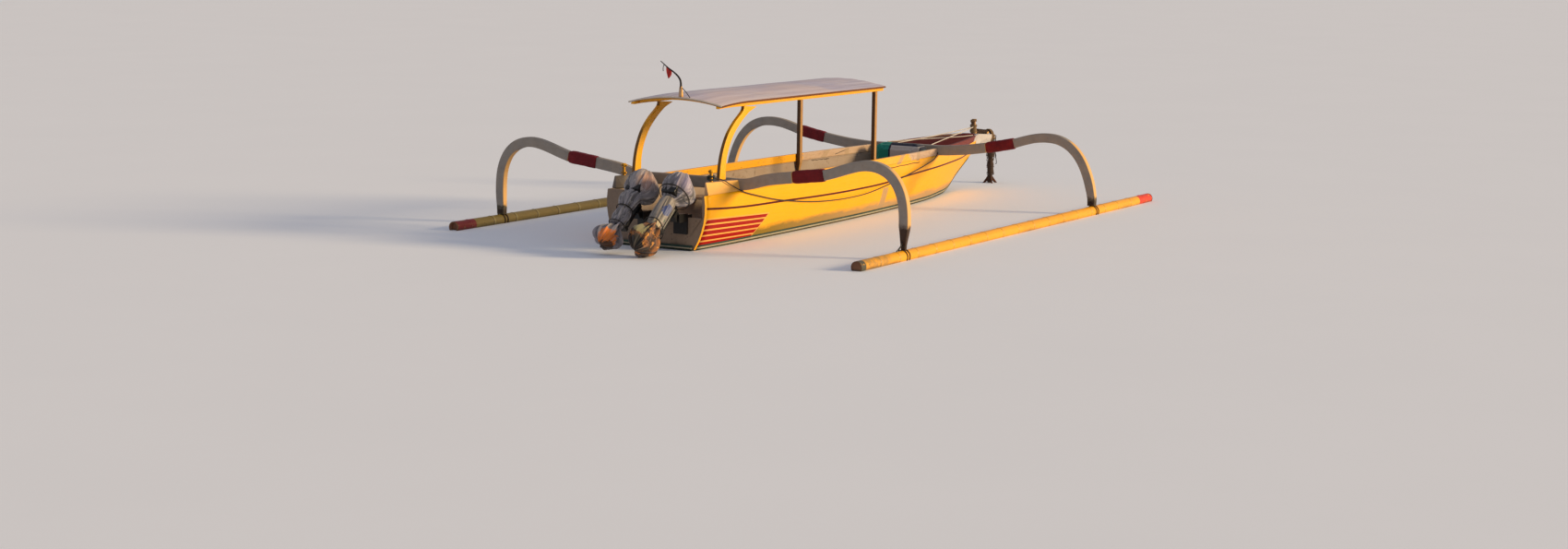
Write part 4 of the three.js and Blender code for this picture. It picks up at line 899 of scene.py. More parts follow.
def make_materials():
    """Makes every finish once, under the name that the pieces ask for."""
    scene = bpy.context.scene
    hull, arms, cloth = scene.canoe_hull, scene.canoe_arms, scene.canoe_cloth
    cover = (*cloth.cover, 1)
    node_at = {row[0]: row[-1] for row in FLOATS}
    # The arms' faces turned to starboard get a painted highlight in warm cream, as if lit by the low key
    # light
    arm_paint = {
        "paint": (*arms.paint, 1), "worn": "#a4927e", "stretch": (13, 1.3, 1.3), "gloss": 0.5,
        "grime": "#3a2e24", "painted_light": (1, -0.45, "#e6b064"),
    }
    MATERIALS.update({
        "hull": hull_paint(hull),
        "bottom": bottom_paint(),
        "gunwale": plank_paint(hull, 1.12),
        "transom": transom_paint(hull),
        # The quarter block's faces turned to starboard get a painted highlight in orange-yellow
        "quarter": painted_timber(
            "Quarter block paint", "#c0a084", "#dca860", 0.45, gloss=0.5, grime="#7a5c36",
            painted_light=(1, -0.45, "#f4b450")),
        "port_quarter": painted_timber("Grey quarter block paint", "#6e655e", "#8c7e74", 0.45, gloss=0.6),
        "rail": rail_paint(),
        "beak": painted_timber("Chalky white paint", "#c4bcb6", "#a39a94", 0.4, gloss=0.6, grime="#6b5e54"),
        "inside": painted_timber("Flat inside paint", (*hull.inside, 1), "#7d6a58", 0.5, gloss=0.65),
        "arm": painted_timber(
            "Grey arm paint", low_grime=(0.185, 0.05, "#4c4230"), **arm_paint),
        "worn_arm": painted_timber(
            "Grey arm paint with a bare foot", low_grime=(0.34, 0.06, "#3c2616"), **arm_paint),
        "sleeve": painted_timber(
            "Maroon bound sleeve", (*arms.sleeve, 1), "#941c22", 0.45, (10, 3, 10), 0.55, "#2a0c0c",
            specular=0.25),
        "maroon": painted_timber(
            "Maroon deck paint", "#560e0a", "#701c12", 0.45, gloss=0.8, grime="#2a0e0c", specular=0.1),
        "roof_beam": painted_timber("Yellow beam paint", "#fbac04", "#eeb038", gloss=0.4, grime="#5c3c14"),
        # The yellow posts and the varnished posts get painted shade in dark brown on their aft-facing faces
        "post": painted_timber(
            "Yellow post paint", "#fdb404", "#f4b434", 0.2, (10, 10, 1.5), 0.38, "#6a4616",
            painted_light=(0, -0.62, "#5c3c16")),
        "timber_post": painted_timber(
            "Weathered varnished post", "#b98a50", "#94683a", 0.5, (12, 12, 1), 0.5, "#3c2614",
            painted_light=(0, -0.5, "#4c3018")),
        "green": painted_timber("Green boot-top paint", "#1f3c34", "#2f4c3a", 0.4, grime="#141e1a"),
        "boot_cream": painted_timber("Cream boot-top paint", "#b3a88e", "#8f8468", 0.5, grime="#4a4434"),
        "bare_bamboo": bamboo(
            "Sun-bleached bamboo", (*arms.bamboo, 1), "#5a4f20", [(-3.775, -3.45, "#780e0e")],
            node_at["port"], gloss=0.42, scars=0.7),
        "painted_bamboo": bamboo(
            "Painted bamboo", (*arms.painted_bamboo, 1), "#d88a18",
            [(3.17, 3.7, "#dc3c10"), (-3.95, -3.81, "#4c4734")], node_at["starboard"], gloss=0.34,
            scars=0.3, worn_end=(-4.2, -3.3, "#a07c3c")),
        # All cloth below gets painted highlights on its folds' crests and painted shade in their valleys; the
        # cover's two spots are painted highlights on the covers' tops
        "cover": woven_cloth(
            "Grey cotton cover", cover, "#cabfba", "#4c4846", fade=0.07, painted_fold_highlight=0.5,
            spots_and_painted_light=[((-3.76, -0.48, 0.74), 0.15, "#a294a8"), ((-3.78, -0.04, 0.75), 0.15, "#b88c78")]),
        "bag": woven_cloth(
            "Grey cotton bag", cover, "#a89ca4", "#4c484e", painted_fold_highlight=0.35,
            spots_and_painted_light=[((-4.45, 0.0, 0.19), 0.17, "#e07808"), ((-4.42, 0.08, 0.05), 0.14, "#3a2810")]),
        # The rag's dark stain and spot rows are painted shade in its hollows, and its bright orange ones are
        # painted highlights
        "rag": woven_cloth(
            "Ochre rag", (*cloth.rag, 1), "#e0943c", "#1c0f08",
            stains=[(120, 0.47, 0.53, "#2c190c"), (60, 0.60, 0.64, "#c8842c")],
            spots_and_painted_light=[
                ((-4.41, -0.36, 0.37), 0.15, "#7c7650"), ((-4.42, -0.47, 0.26), 0.11, "#dc9030"),
                ((-4.54, -0.38, 0.20), 0.13, "#0e0704"), ((-4.56, -0.32, 0.15), 0.16, "#0e0704"),
                ((-4.44, -0.40, 0.04), 0.11, "#180d07"), ((-4.47, -0.35, 0.05), 0.07, "#a86018"),
            ]),
        "plastic": woven_cloth(
            "Crumpled plastic bag", "#94897e", "#c8b89c", "#4c453c", rough=0.45,
            stains=[(120, 0.62, 0.68, "#5c564c")],
            spots_and_painted_light=[
                ((-4.02, -0.41, 0.46), 0.11, "#0c3272"), ((-4.09, -0.42, 0.33), 0.08, "#2c5c40"),
                ((-4.19, -0.39, 0.34), 0.10, "#bca880"),
            ]),
        # The flag's ripples get painted highlights on their crests and painted shade in their troughs
        "flag": woven_cloth("Faded red bunting", "#cc1c10", "#e8402c", "#8a100a"),
        "dark_rope": laid_rope("Tarred rope", "#2c251f", "#100c0a"),
        "tan_rope": laid_rope("Sun-bleached rope", "#94754c", "#46301c"),
        "brown_rope": laid_rope("Rust-stained rope", "#4c3220", "#170d08"),
        "white_rope": laid_rope("White nylon rope", "#ded6ce", "#9c9080"),
        "teal_rope": laid_rope("Dark teal rope", "#142a30", "#070f12"),
        "dark_stick": painted_timber("Tarred stick", "#1a1412", "#2e2018", 0.3, (1, 8, 8), 0.6, "#0c0808"),
        "iron": rusty_iron(),
        "enamel": motor_enamel(),
        "roof": roof_skin(),
        "cushion": cushion_cloth(),
        "floor": plank_floor(),
    })


# Pieces of the hull

def hull_rings(aft_count, bow_count, stem=STEM_X):
    """Stations from the transom to the stem, closer together where the bow narrows."""
    return np.concatenate([
        np.linspace(TRANSOM_X, SHOULDER_X, aft_count), np.linspace(SHOULDER_X, stem, bow_count)[1:]])[:, None]


def topsides(settings):
    """Hull side: outer skin y(x, z) from the hull lines, inner skin one wall thickness inside it."""
    x = hull_rings(settings.stations * 2 // 3, settings.stations // 3)
    foot = table_at(HULL_STATIONS, x, CHINE_Z)
    top = table_at(HULL_STATIONS, x, SHEER_Z) - GUNWALE_DEPTH - SKIN_GAP
    z = foot + (top - foot) * np.linspace(0, 1, 19)
    outer = hull_y(np.broadcast_to(x, z.shape), z)
    inner = np.maximum(outer - HULL_WALL, STEM_HALF)
    for name, side in SIDES:
        skin = wall(grid(x, side * outer, z), grid(x, side * inner, z))
        surface(f"topside_skin_{name}", skin, "hull", caps="strip", replaces=[f"topside_{name}"],
                slot="yellow_paint")


def bottom():
    """Bottom shell: z rises from keel to chine as a power of the share of the half-beam."""
    x = hull_rings(50, 40)
    share = np.linspace(1, -1, 41)
    half = table_at(HULL_STATIONS, x, CHINE_Y)
    top = table_at(HULL_STATIONS, x, CHINE_Z) - SKIN_GAP
    keel = table_at(KEEL_LINE, x, 1)
    points = grid(x, half * share, keel + (top - keel) * np.abs(share) ** BILGE_POWER)
    surface("bottom_shell", points, "bottom", replaces=["underbody"], slot="underbody_paint")


# Painted strips. Columns: piece, material, lowest and highest z above the chine in mm
CHINE_STRIPS = [
    ("green", "green", 29, 48),
    ("cream", "boot_cream", 9, 28),
    ("dark", "bottom", -2, 8),
]
# The same across the transom's foot. Columns: piece, material, lowest and highest z in mm
TRANSOM_STRIPS = [
    ("green", "green", 36, 56),
    ("cream", "boot_cream", 22, 35),
    ("dark", "bottom", 3, 21),
]
# They narrow over their last 500 mm, and stay this high above the water where the chine dips under
STRIPS_END_X, STRIPS_FADE, STRIPS_LEAST_Z = 3560, 500, 8
TRANSOM_BACK_X, TRANSOM_STRIP_HALF = -3640, 455


def chine_strips(settings):
    """Painted strips on each chine and across the transom: flat half-rounds carried along the timber."""
    x = hull_rings(70, 34, STRIPS_END_X)
    proud = settings.strip_proud / MM
    share = np.linspace(0, 1, 7)
    # Half-round that starts and ends a little proud of the skin
    bulge = proud * np.sin(np.pi * (0.12 + 0.76 * share)) ** 0.5
    fade = np.clip((STRIPS_END_X - x) / STRIPS_FADE, 0.35, 1)
    chine = table_at(HULL_STATIONS, x, CHINE_Z)
    base = np.maximum(chine, STRIPS_LEAST_Z)
    for label, material, low, high in CHINE_STRIPS:
        z = base + (low + (high - low) * share) * fade
        skin = hull_y(np.broadcast_to(x, z.shape), np.maximum(z, chine))
        for name, side in SIDES:
            strip = wall(grid(x, side * (skin + bulge), z), grid(x, side * (skin - 2), z))
            surface(f"chine_{label}_{name}", strip, material, caps="strip")
    y = np.linspace(-TRANSOM_STRIP_HALF, TRANSOM_STRIP_HALF, 30)[:, None]
    for label, material, low, high in TRANSOM_STRIPS:
        u, v = rounded_ring(proud, (high - low) / 2, 3, 3).T
        strip = grid(TRANSOM_BACK_X - proud + u, y, (low + high) / 2 + v)
        surface(f"transom_{label}_strip", strip, material)


# Columns: node, material, width of its rounded edges in metres
HULL_NODES = [
    ("transom", "transom", 0.004),
    ("floorboards", "floor", 0.002),
    ("thwart_1", "inside", 0.004),
    ("thwart_2", "inside", 0.004),
    ("bow_seat", "inside", 0.004),
    ("bow_bulkhead", "inside", 0.004),
    ("foredeck", "maroon", 0.003),
    ("gunwale_port", "gunwale", 0.006),
    ("gunwale_starboard", "gunwale", 0.006),
    ("bow_rail_port", "rail", 0.006),
    ("bow_rail_starboard", "rail", 0.006),
    ("quarter_block_port", "port_quarter", 0.006),
    ("quarter_block_starboard", "quarter", 0.006),
    ("beak", "beak", 0.006),
]


class CANOE_OT_hull(bpy.types.Operator):
    """Build the hull's skin, bottom and strips, and finish its timber"""

    bl_idname = "canoe.hull"
    bl_label = "Hull"

    def execute(self, context):
        settings = context.scene.canoe_hull
        topsides(settings)
        bottom()
        chine_strips(settings)
        for row in HULL_NODES:
            paint_node(*row)
        return {"FINISHED"}


# Arms and floats

def worn_foot(label, name):
    """The aft starboard foot has worn to a peg; the other three are whole."""
    return (label, name) == ("aft", "starboard")


class CANOE_OT_arms(bpy.types.Operator):
    """Build crossbeams, sleeves and curved arms"""

    bl_idname = "canoe.arms"
    bl_label = "Arms"

    def execute(self, context):
        corner = context.scene.canoe_arms.corner / MM
        for label, rows in ARM_SETS.items():
            x = rows["x"]
            beam = np.array(rows["beam"], float)
            middle = np.linspace(-beam[0, 0], beam[0, 0], 9)[1:-1]
            whole = np.vstack([beam[::-1] * [-1, 1], np.column_stack([middle, np.full(7, BEAM_Z)]), beam])
            beam_along(f"crossbeam_shaped_{label}", smooth_path(whole, 90), x, *BEAM_HALF, corner, "arm",
                       replaces=[f"crossbeam_{label}"], slot="grey_paint")
            for name, side in SIDES:
                self.curved_arm(label, name, smooth_path(rows["arm"], 110) * [side, 1], x, corner)
                self.sleeve(label, name, smooth_path(rows["sleeve"], 48) * [side, 1], x, side)
        return {"FINISHED"}

    def curved_arm(self, label, name, path, x, corner):
        """Round-cornered timber that thins along its foot, to a peg where the foot has worn."""
        worn = worn_foot(label, name)
        least = 0.44 if worn else 0.86
        arc = arc_length(path)
        from_foot = np.clip((arc[-1] - arc) / FOOT_LENGTH, 0, 1)
        slim = least + (1 - least) * from_foot ** 1.1
        beam_along(f"curved_arm_{label}_{name}", path, x, *ARM_HALF, corner, "worn_arm" if worn else "arm",
                   scale=slim, replaces=[f"arm_{label}_{name}"], slot="grey_paint")

    def sleeve(self, label, name, path, x, side):
        """Cloth bound and painted over: its size falls off steeply at both ends, and two sines lump it."""
        share = np.linspace(0, 1, len(path))
        shoulder = 1 - 0.2 * np.exp(-share / 0.03) - 0.2 * np.exp((share - 1) / 0.03)
        lumps = 1 + 0.012 * np.sin(9 * share + side) + 0.010 * np.sin(23 * share + 2 * side)
        beam_along(f"bound_sleeve_{label}_{name}", path, x, *SLEEVE_HALF, SLEEVE_CORNER, "sleeve",
                   scale=shoulder * lumps, replaces=[f"sleeve_{label}_{name}"], slot="maroon_paint")


def culm(name, side, aft, fore, node_at):
    """Bamboo culm: radius swells by 3 mm at each node and dips beside it, and its line wanders by 2 mm.

    The port culm is cut square aft and hollow. Each fore end closes as the 0.7th power of a cosine.
    """
    # Even rings, and closer ones beside the nodes
    at_nodes = [node_at + NODE_STEP * k + np.linspace(-40, 40, 17) for k in range(-3, 17)]
    x = np.unique(np.concatenate([np.linspace(aft, fore, 260), *at_nodes]))
    x = x[(x >= aft) & (x <= fore)]
    phase = (x - node_at) / NODE_STEP
    off = (phase - np.round(phase)) * NODE_STEP
    # Ridge at a node and dip beside it, each a bell 8 mm wide, but none within 60 mm of an end
    away = (x < fore - 60) & (x > aft + 60)
    ridge = 3.4 * np.exp(-(off / 8) ** 2) - 1.5 * np.exp(-((off - 16) / 8) ** 2)
    radius = FLOAT_RADIUS + away * ridge - 0.8
    centre_y = side * (FLOAT_Y + 1.5 * np.sin(x / 700))
    centre_z = FLOAT_Z + 1.2 * np.sin(x / 900 + 1)
    # The fore end closes over its last 30 mm to starboard, and 8 mm to port
    nose = np.linspace(0, np.pi / 2, 8)[1:]
    blunt = 30 if side < 0 else 8
    x[-1] = fore - blunt
    # Columns: x, radius, y and z of the middle
    rows = np.column_stack([x, radius, centre_y, centre_z])
    tip = np.repeat(rows[-1:], len(nose), axis=0)
    tip[:, 0] += blunt * np.sin(nose)
    tip[:, 1] *= np.maximum(np.cos(nose), 0.02) ** 0.7
    if side > 0:
        hollow = np.repeat(rows[:1], 3, axis=0)
        hollow[:, 0] = (aft + 30, aft + 30, aft)
        hollow[:, 1] *= (0.74, 0.78, 0.80)
        rows = np.vstack([hollow, rows])
    x, radius, centre_y, centre_z = np.vstack([rows, tip]).T[..., None]
    angle = circle(40)
    points = grid(x, centre_y + radius * np.cos(angle), centre_z + radius * np.sin(angle))
    surface(f"bamboo_float_{name}", points, "bare_bamboo" if side > 0 else "painted_bamboo",
            replaces=[f"float_{name}"], slot="bamboo" if side > 0 else "bamboo_yellow")


class CANOE_OT_floats(bpy.types.Operator):
    """Build the bamboo floats and the lashings at the arms' feet"""

    bl_idname = "canoe.floats"
    bl_label = "Floats"

    def execute(self, context):
        for row in FLOATS:
            culm(*row)
        for label, rows in ARM_SETS.items():
            foot_y = rows["arm"][-1][0] * MM
            for name, side in SIDES:
                self.lashings(f"{label}_{name}", rows["x"] * MM, side)
                self.binding(f"{label}_{name}", rows["x"] * MM, side * foot_y, worn_foot(label, name))
                if worn_foot(label, name):
                    self.splints(f"{label}_{name}", rows["x"] * MM, side, foot_y)
        return {"FINISHED"}

    def lashings(self, label, x, side):
        """Two turns round the float on each side of the foot: helices about the float."""
        for k, shift in ((1, -0.026), (2, 0.026)):
            centre = (x + shift, side * FLOAT_Y * MM, FLOAT_Z * MM)
            path = winding(centre, (1, 0, 0), 0.0660, 0.016, 2, phase=side)
            rope(f"foot_lashing_{label}_{k}", path, 0.008, "brown_rope", up=(1, 0, 0))

    def splints(self, label, x, side, foot_y):
        """Two sticks that lean from the worn foot to the float."""
        for k in (1, 2):
            start = (x - 0.020, side * (foot_y - 0.004 * k), 0.215 - 0.03 * k)
            end = (x - 0.05 - 0.045 * k, side * (foot_y - 0.01), 0.094)
            path = smooth_path([start, np.add(start, end) / 2, end], 12)
            rod(f"foot_splint_{label}_{k}", path, 0.006, 0.005, "dark_stick", up=(0, 1, 0))

    def binding(self, label, x, y, worn):
        """Five turns round the foot: the mean of a circle and a rounded square, rising 8 mm a turn."""
        half_w, half_d = (0.024, 0.032) if worn else (0.038, 0.056)
        turn = np.linspace(0, 5, 200)
        angle = 2 * np.pi * turn
        square = 0.5 * (np.abs(np.cos(angle)) ** 4 + np.abs(np.sin(angle)) ** 4) ** -0.25 + 0.5
        path = np.column_stack([
            x + half_w * square * np.cos(angle), y + half_d * square * np.sin(angle) * 0.86,
            0.112 + 0.008 * turn])
        rope(f"foot_binding_{label}", path, 0.007, "brown_rope")


# Roof, posts and flag

# Roof sheet in mm: its ends, half its width, the underside of its long edges, and its rise amidships
ROOF_AFT, ROOF_FORE, ROOF_HALF, ROOF_EDGE_Z, ROOF_CAMBER = -3290, 260, 575, 1472, 70
ROOF_THICKNESS = 15
# The roof droops aft of DROOP_X, by DROOP at its edge
DROOP_X, DROOP = -2700, 30


def roof_z(x, y):
    """Underside of the roof sheet in mm: a parabola across, drooping as a parabola over its aft end."""
    droop = DROOP * (np.clip(DROOP_X - x, 0, None) / (DROOP_X - ROOF_AFT)) ** 2
    return ROOF_EDGE_Z - droop + ROOF_CAMBER * (1 - (y / ROOF_HALF) ** 2)


def roof_sheet():
    """Sheet of even thickness whose upper face ripples by a millimetre or two, as two sines."""
    x = np.linspace(ROOF_AFT, ROOF_FORE, 120)[:, None]
    y = np.linspace(ROOF_HALF, -ROOF_HALF, 61)
    lower = roof_z(x, y) + 1
    ripple = 1.2 * np.sin(y / 30) + 1.0 * np.sin(x / 210) * np.sin(y / 170)
    sheet = wall(grid(x, y, lower + ROOF_THICKNESS + ripple), grid(x, y, lower))
    surface("roof_panel", sheet, "roof", caps="strip", replaces=["roof_sheet"], slot="roof_panel")


def roof_battens():
    """Bent battens under the sheet, every 565 mm, whose middle follows it 14 mm lower."""
    y = np.linspace(-495, 495, 41)[:, None]
    u, v = rounded_ring(17, 13, 3, 3).T
    for k, x in enumerate(np.linspace(-3200, 190, 7)):
        surface(f"roof_batten_{k + 1}", grid(x + u, y, roof_z(x, y) - 14 + v), "roof_beam")


# Edges of the sickle boards in mm, from the foot up. Columns: x, z
CURVED_POST_AFT = [
    (-3272, 700.3), (-3250, 860), (-3200, 1010), (-3112, 1155), (-2985, 1272), (-2845, 1365),
    (-2808, 1400), (-2800, 1434),
]
CURVED_POST_FORE = [
    (-3150, 700.3), (-3142, 860), (-3096, 1004), (-2998, 1150), (-2862, 1266), (-2725, 1352),
    (-2640, 1386), (-2545, 1416),
]
CURVED_POST_Y = 523


def curved_posts():
    """Sickle board: aft edge A(s) and fore edge F(s), with a rounded section between them."""
    share = np.linspace(0, 1, 90)
    edges = []
    for rows in (CURVED_POST_AFT, CURVED_POST_FORE):
        rows = np.column_stack([np.linspace(0, 1, len(rows)), rows])
        edges.append(np.column_stack([table_at(rows, share, 1), table_at(rows, share, 2)])[:, None])
    aft, fore = edges
    u, v = rounded_ring(50, 20, 5, 4).T
    across = ((u / 50 + 1) / 2)[:, None]
    xz = aft * (1 - across) + fore * across
    for name, side in SIDES:
        board = grid(xz[..., 0], side * CURVED_POST_Y + v, xz[..., 1])
        surface(f"sickle_post_{name}", board, "post", replaces=[f"curved_post_{name}"], slot="yellow_paint")


# Flag stick, its twig and its strut. Columns: piece, radius at the foot, radius at the tip, node it
# replaces, slot, and y and z along its middle, all in metres
FLAG_RODS = [
    ("flag_stick", 0.0125, 0.0045, ["flag_staff"], "black_metal",
     [(-0.06, 1.60), (-0.056, 1.69), (-0.03, 1.735), (0.025, 1.78), (0.10, 1.825), (0.19, 1.89)]),
    ("flag_twig", 0.0035, 0.0045, [], None,
     [(0.148, 1.856), (0.156, 1.840), (0.160, 1.815), (0.158, 1.788)]),
    ("flag_strut", 0.004, 0.004, [], None,
     [(-0.072, 1.626), (-0.105, 1.600), (-0.140, 1.565), (-0.172, 1.528)]),
]
FLAG_X = -3.268
# The block at the stick's foot. Columns: z in mm, size
FLAG_BLOCK = [(1533, 1), (1560, 0.95), (1600, 0.8), (1632, 0.66), (1640, 0.5)]


class CANOE_OT_roof(bpy.types.Operator):
    """Build the roof sheet, its battens, posts and flag"""

    bl_idname = "canoe.roof"
    bl_label = "Roof"

    def execute(self, context):
        roof_sheet()
        roof_battens()
        curved_posts()
        for name, _ in SIDES:
            paint_node(f"roof_beam_{name}", "roof_beam", 0.005)
            paint_node(f"fore_post_{name}", "timber_post", 0.006)
        self.flag_stick()
        self.flag_cloth()
        return {"FINISHED"}

    def flag_stick(self):
        """Bent stick, its hanging twig and the thin strut: round rods that taper along their paths."""
        for name, foot, tip, replaced, slot, points in FLAG_RODS:
            path = smooth_path([(FLAG_X, y, z) for y, z in points], 60)
            rod(name, path, foot, tip, "dark_stick", replaces=replaced, slot=slot)
        z, size = np.array(FLAG_BLOCK, float).T[..., None]
        u, v = rounded_ring(16, 20, 4, 4).T
        surface("flag_block", grid(FLAG_X / MM + u * size, -60 + v * size, z), "quarter")

    def flag_cloth(self):
        """Small pennant: lines from the stick to its point, which belly out and ripple on the way down."""
        s = np.linspace(0, 1, 30)[:, None]
        t = np.linspace(0, 1, 30)
        wave = np.sin(8 * s + 2.5 * t)
        y = (0.122 - 0.066 * s) * (1 - t) + (0.093 - 0.010 * (s - 0.5)) * t
        y = y + np.sin(np.pi * t) * (0.010 - 0.022 * s)
        z = (1.836 - 0.036 * s) * (1 - t) + 1.716 * t - 0.006 * np.sin(np.pi * t)
        x = FLAG_X + 0.013 * t * (1 - 0.5 * t) * wave
        # The ripple's crest attribute lays painted highlights and painted shade on the flag
        flag = surface("flag_cloth", grid(x, y, z, unit=1), "flag", close_v=False, caps="none",
                       uv=(np.linspace(0, 0.07, 31), np.linspace(0, 0.12, 31)),
                       attributes={"crest": 0.5 + 0.5 * wave}, replaces=["flag"], slot="flag_cloth")
        flag.modifiers.new("Cloth thickness", "SOLIDIFY").thickness = 0.0012


# Motors

def on_motor(points, side):
    """Motor coordinates in mm, upright about the tilt axis, to the frame: tilted up about Y, then placed."""
    x, y, z = np.moveaxis(points, -1, 0)
    return grid(MOTOR_PIVOT[0] + x * math.cos(MOTOR_TILT) + z * math.sin(MOTOR_TILT), MOTOR_ROWS[side] + y,
                MOTOR_PIVOT[1] - x * math.sin(MOTOR_TILT) + z * math.cos(MOTOR_TILT))


# Folds of the motors' cloth. Columns: folds round the form, how strong
FOLD_WAVES = [(5, 1.0), (7, 0.9), (11, 0.8), (16, 0.5), (23, 0.3), (31, 0.2)]
# A tie deepens the folds over TIE_REACH mm and pinches the cloth over TIE_WIDTH mm, above and below it
TIE_REACH, TIE_WIDTH = 60, 15
# A cord's middle lies this far outside the pinched cloth
CORD_OFF = 4
# Folds never press the form in by more than this share of its half size
MOST_PRESSED = 0.8


def wrapped_cloth(name, side, rings, ties, depth, seed, material, counts, **more):
    """Cloth gathered round an oblong form. Rings: z, centre x, half length, half width in mm.

    Folds run along the form. Each is 1 - 2 |sin| of a multiple of the angle, so its crest is sharp and its
    valley round. Their sum is pressed into the form, deepest near the ties, and a tie pinches the cloth.
    """
    n, m = counts
    rows = np.array(sorted(rings), float)
    z = np.linspace(rows[0, 0], rows[-1, 0], n)[:, None]
    centre, half_l, half_w = (table_at(rows, z, column) for column in (1, 2, 3))
    angle = circle(m)
    rng = np.random.default_rng(seed)
    phases = rng.uniform(0, np.pi, len(FOLD_WAVES))
    twists = rng.uniform(-0.9, 0.9, len(FOLD_WAVES))
    share = (z - z[0]) / (z[-1] - z[0])
    folds = 0
    for (count, weight), phase, twist in zip(FOLD_WAVES, phases, twists):
        folds = folds + weight * (1 - 2 * np.abs(np.sin(count * angle / 2 + phase + twist * share * 3)))
    folds = folds / 1.9
    near = np.full_like(z, 0.75)
    pinch = np.zeros_like(z)
    for tie_z, pull in ties:
        near = near + 0.6 * np.exp(-np.abs(z - tie_z) / TIE_REACH)
        pinch = pinch + pull * np.exp(-((z - tie_z) / TIE_WIDTH) ** 2)
    slow = np.sin(2 * angle + phases[0] + 4 * share) + np.sin(3 * angle + phases[1] - 6 * share) - 2
    press = np.clip(near, 0, 1.2) * depth * np.clip(folds - 0.75, -2, 0) + depth * 0.35 * slow - pinch
    press = np.maximum(press, -MOST_PRESSED * np.minimum(half_l, half_w))
    across, outwards = oblong(angle)
    points = grid(centre + (half_l + press) * across, (half_w + press) * outwards, z, unit=1)
    # crest lays painted highlights on the folds' crests and painted shade in their valleys
    crest = np.clip(0.5 + 0.5 * folds * np.clip(near, 0, 1), 0, 1)
    around = np.linspace(0, 2 * np.pi * rows[:, 2:].mean() * MM, m + 1)
    surface(name, on_motor(points, side), material, body=f"{side}_motor", uv=(z[:, 0] * MM, around),
            attributes={"crest": crest}, **more)


def tie_cord(name, side, rings, z, lean, pinch, diameter, turns=2):
    """Cord wound round a gathered cloth: the cloth's oblong section at each height of a leaning plane."""
    turn = np.linspace(0, turns, 80 * turns)
    angle = 2 * np.pi * turn
    rows = np.array(sorted(rings), float)
    height = z + lean * np.cos(angle) + (turn - turns / 2) * diameter * 0.9
    centre, half_l, half_w = (table_at(rows, height, column) for column in (1, 2, 3))
    across, outwards = oblong(angle)
    off = CORD_OFF - pinch
    path = np.column_stack([centre + (half_l + off) * across, (half_w + off) * outwards, height])
    rope(name, on_motor(path, side), diameter * MM, "dark_rope",
         up=(math.sin(MOTOR_TILT), 0, math.cos(MOTOR_TILT)), sides=8, body=f"{side}_motor")


# Cloth round the motors. Columns: z, centre x, half length, half width, in motor coordinates in mm
COVER_TOP = [
    (92, -154, 147, 139), (134, -148, 178, 172), (184, -145, 199, 191), (236, -151, 199, 190),
    (286, -163, 184, 174), (332, -180, 150, 140), (366, -195, 105, 98), (386, -204, 58, 54),
    (393, -206, 18, 16),
]
COVER_RINGS = {
    "port": [
        (-180, -200, 66, 68), (-172, -202, 84, 88), (-150, -202, 88, 90), (-120, -206, 92, 96),
        (-70, -214, 102, 112), (-10, -216, 106, 120), (35, -205, 106, 122), (62, -180, 118, 120), *COVER_TOP,
    ],
    "starboard": [(20, -190, 76, 74), (34, -180, 92, 88), (62, -160, 108, 100), *COVER_TOP],
}
LEG_WRAP_RINGS = {
    "port": [
        (-352, -192, 76, 78), (-320, -192, 82, 84), (-250, -196, 87, 90), (-180, -198, 86, 90),
        (-150, -198, 78, 82),
    ],
    "starboard": [
        (-345, -192, 78, 80), (-260, -196, 87, 92), (-150, -198, 88, 94), (-60, -200, 90, 94),
        (10, -198, 88, 90), (45, -192, 74, 76),
    ],
}
BAG_RINGS = {
    "port": [
        (-322, -190, 74, 76), (-328, -191, 86, 88), (-342, -192, 80, 82), (-366, -194, 94, 92),
        (-400, -196, 118, 106), (-440, -200, 154, 128), (-490, -207, 184, 154), (-545, -213, 198, 164),
        (-600, -222, 182, 150), (-640, -236, 142, 116), (-666, -246, 96, 76), (-677, -250, 34, 26),
    ],
    "starboard": [
        (-286, -194, 80, 84), (-292, -195, 98, 102), (-320, -197, 106, 108), (-360, -199, 134, 122),
        (-410, -200, 162, 134), (-490, -206, 204, 154), (-560, -214, 224, 165), (-625, -224, 204, 150),
        (-676, -238, 154, 114), (-708, -250, 96, 68), (-718, -254, 36, 28),
    ],
}
# Cords round the cloth. Columns: piece, layer it ties, side, z, lean of its plane, depth of the pinch,
# diameter, all in mm
TIES = [
    ("cover_tie", "cover_cloth", "port", -150, 0, 7, 8),
    ("bag_tie", "bag_cloth", "port", -342, 8, 5, 7),
    ("cover_tie", "cover_cloth", "starboard", 128, -14, 8, 7),
    ("bag_tie", "bag_cloth", "starboard", -338, -46, 5, 9),
]
# Columns: piece, rings, share of the fold depth, material to port and to starboard, rings and points
# round it, nodes it replaces
CLOTH_LAYERS = [
    ("leg_wrap", LEG_WRAP_RINGS, 0.5, {"port": "cover", "starboard": "plastic"}, (100, 160), ()),
    ("cover_cloth", COVER_RINGS, 1.0, {"port": "cover", "starboard": "cover"}, (170, 240), ("motor_cover",)),
    ("bag_cloth", BAG_RINGS, 2.1, {"port": "bag", "starboard": "rag"}, (130, 220), ("propeller_bag",)),
]
# Thumbscrews in mm. Columns: x, radius of the turned shank
SCREW_PROFILE = [
    (-3567, 5), (-3560, 15), (-3555, 15), (-3552, 6), (-3515, 6), (-3510, 11), (-3500, 11), (-3496, 2),
]
SCREW_Z, SCREW_APART, HANDLE_X, HANDLE_HALF = 300, 84, -3506, 34


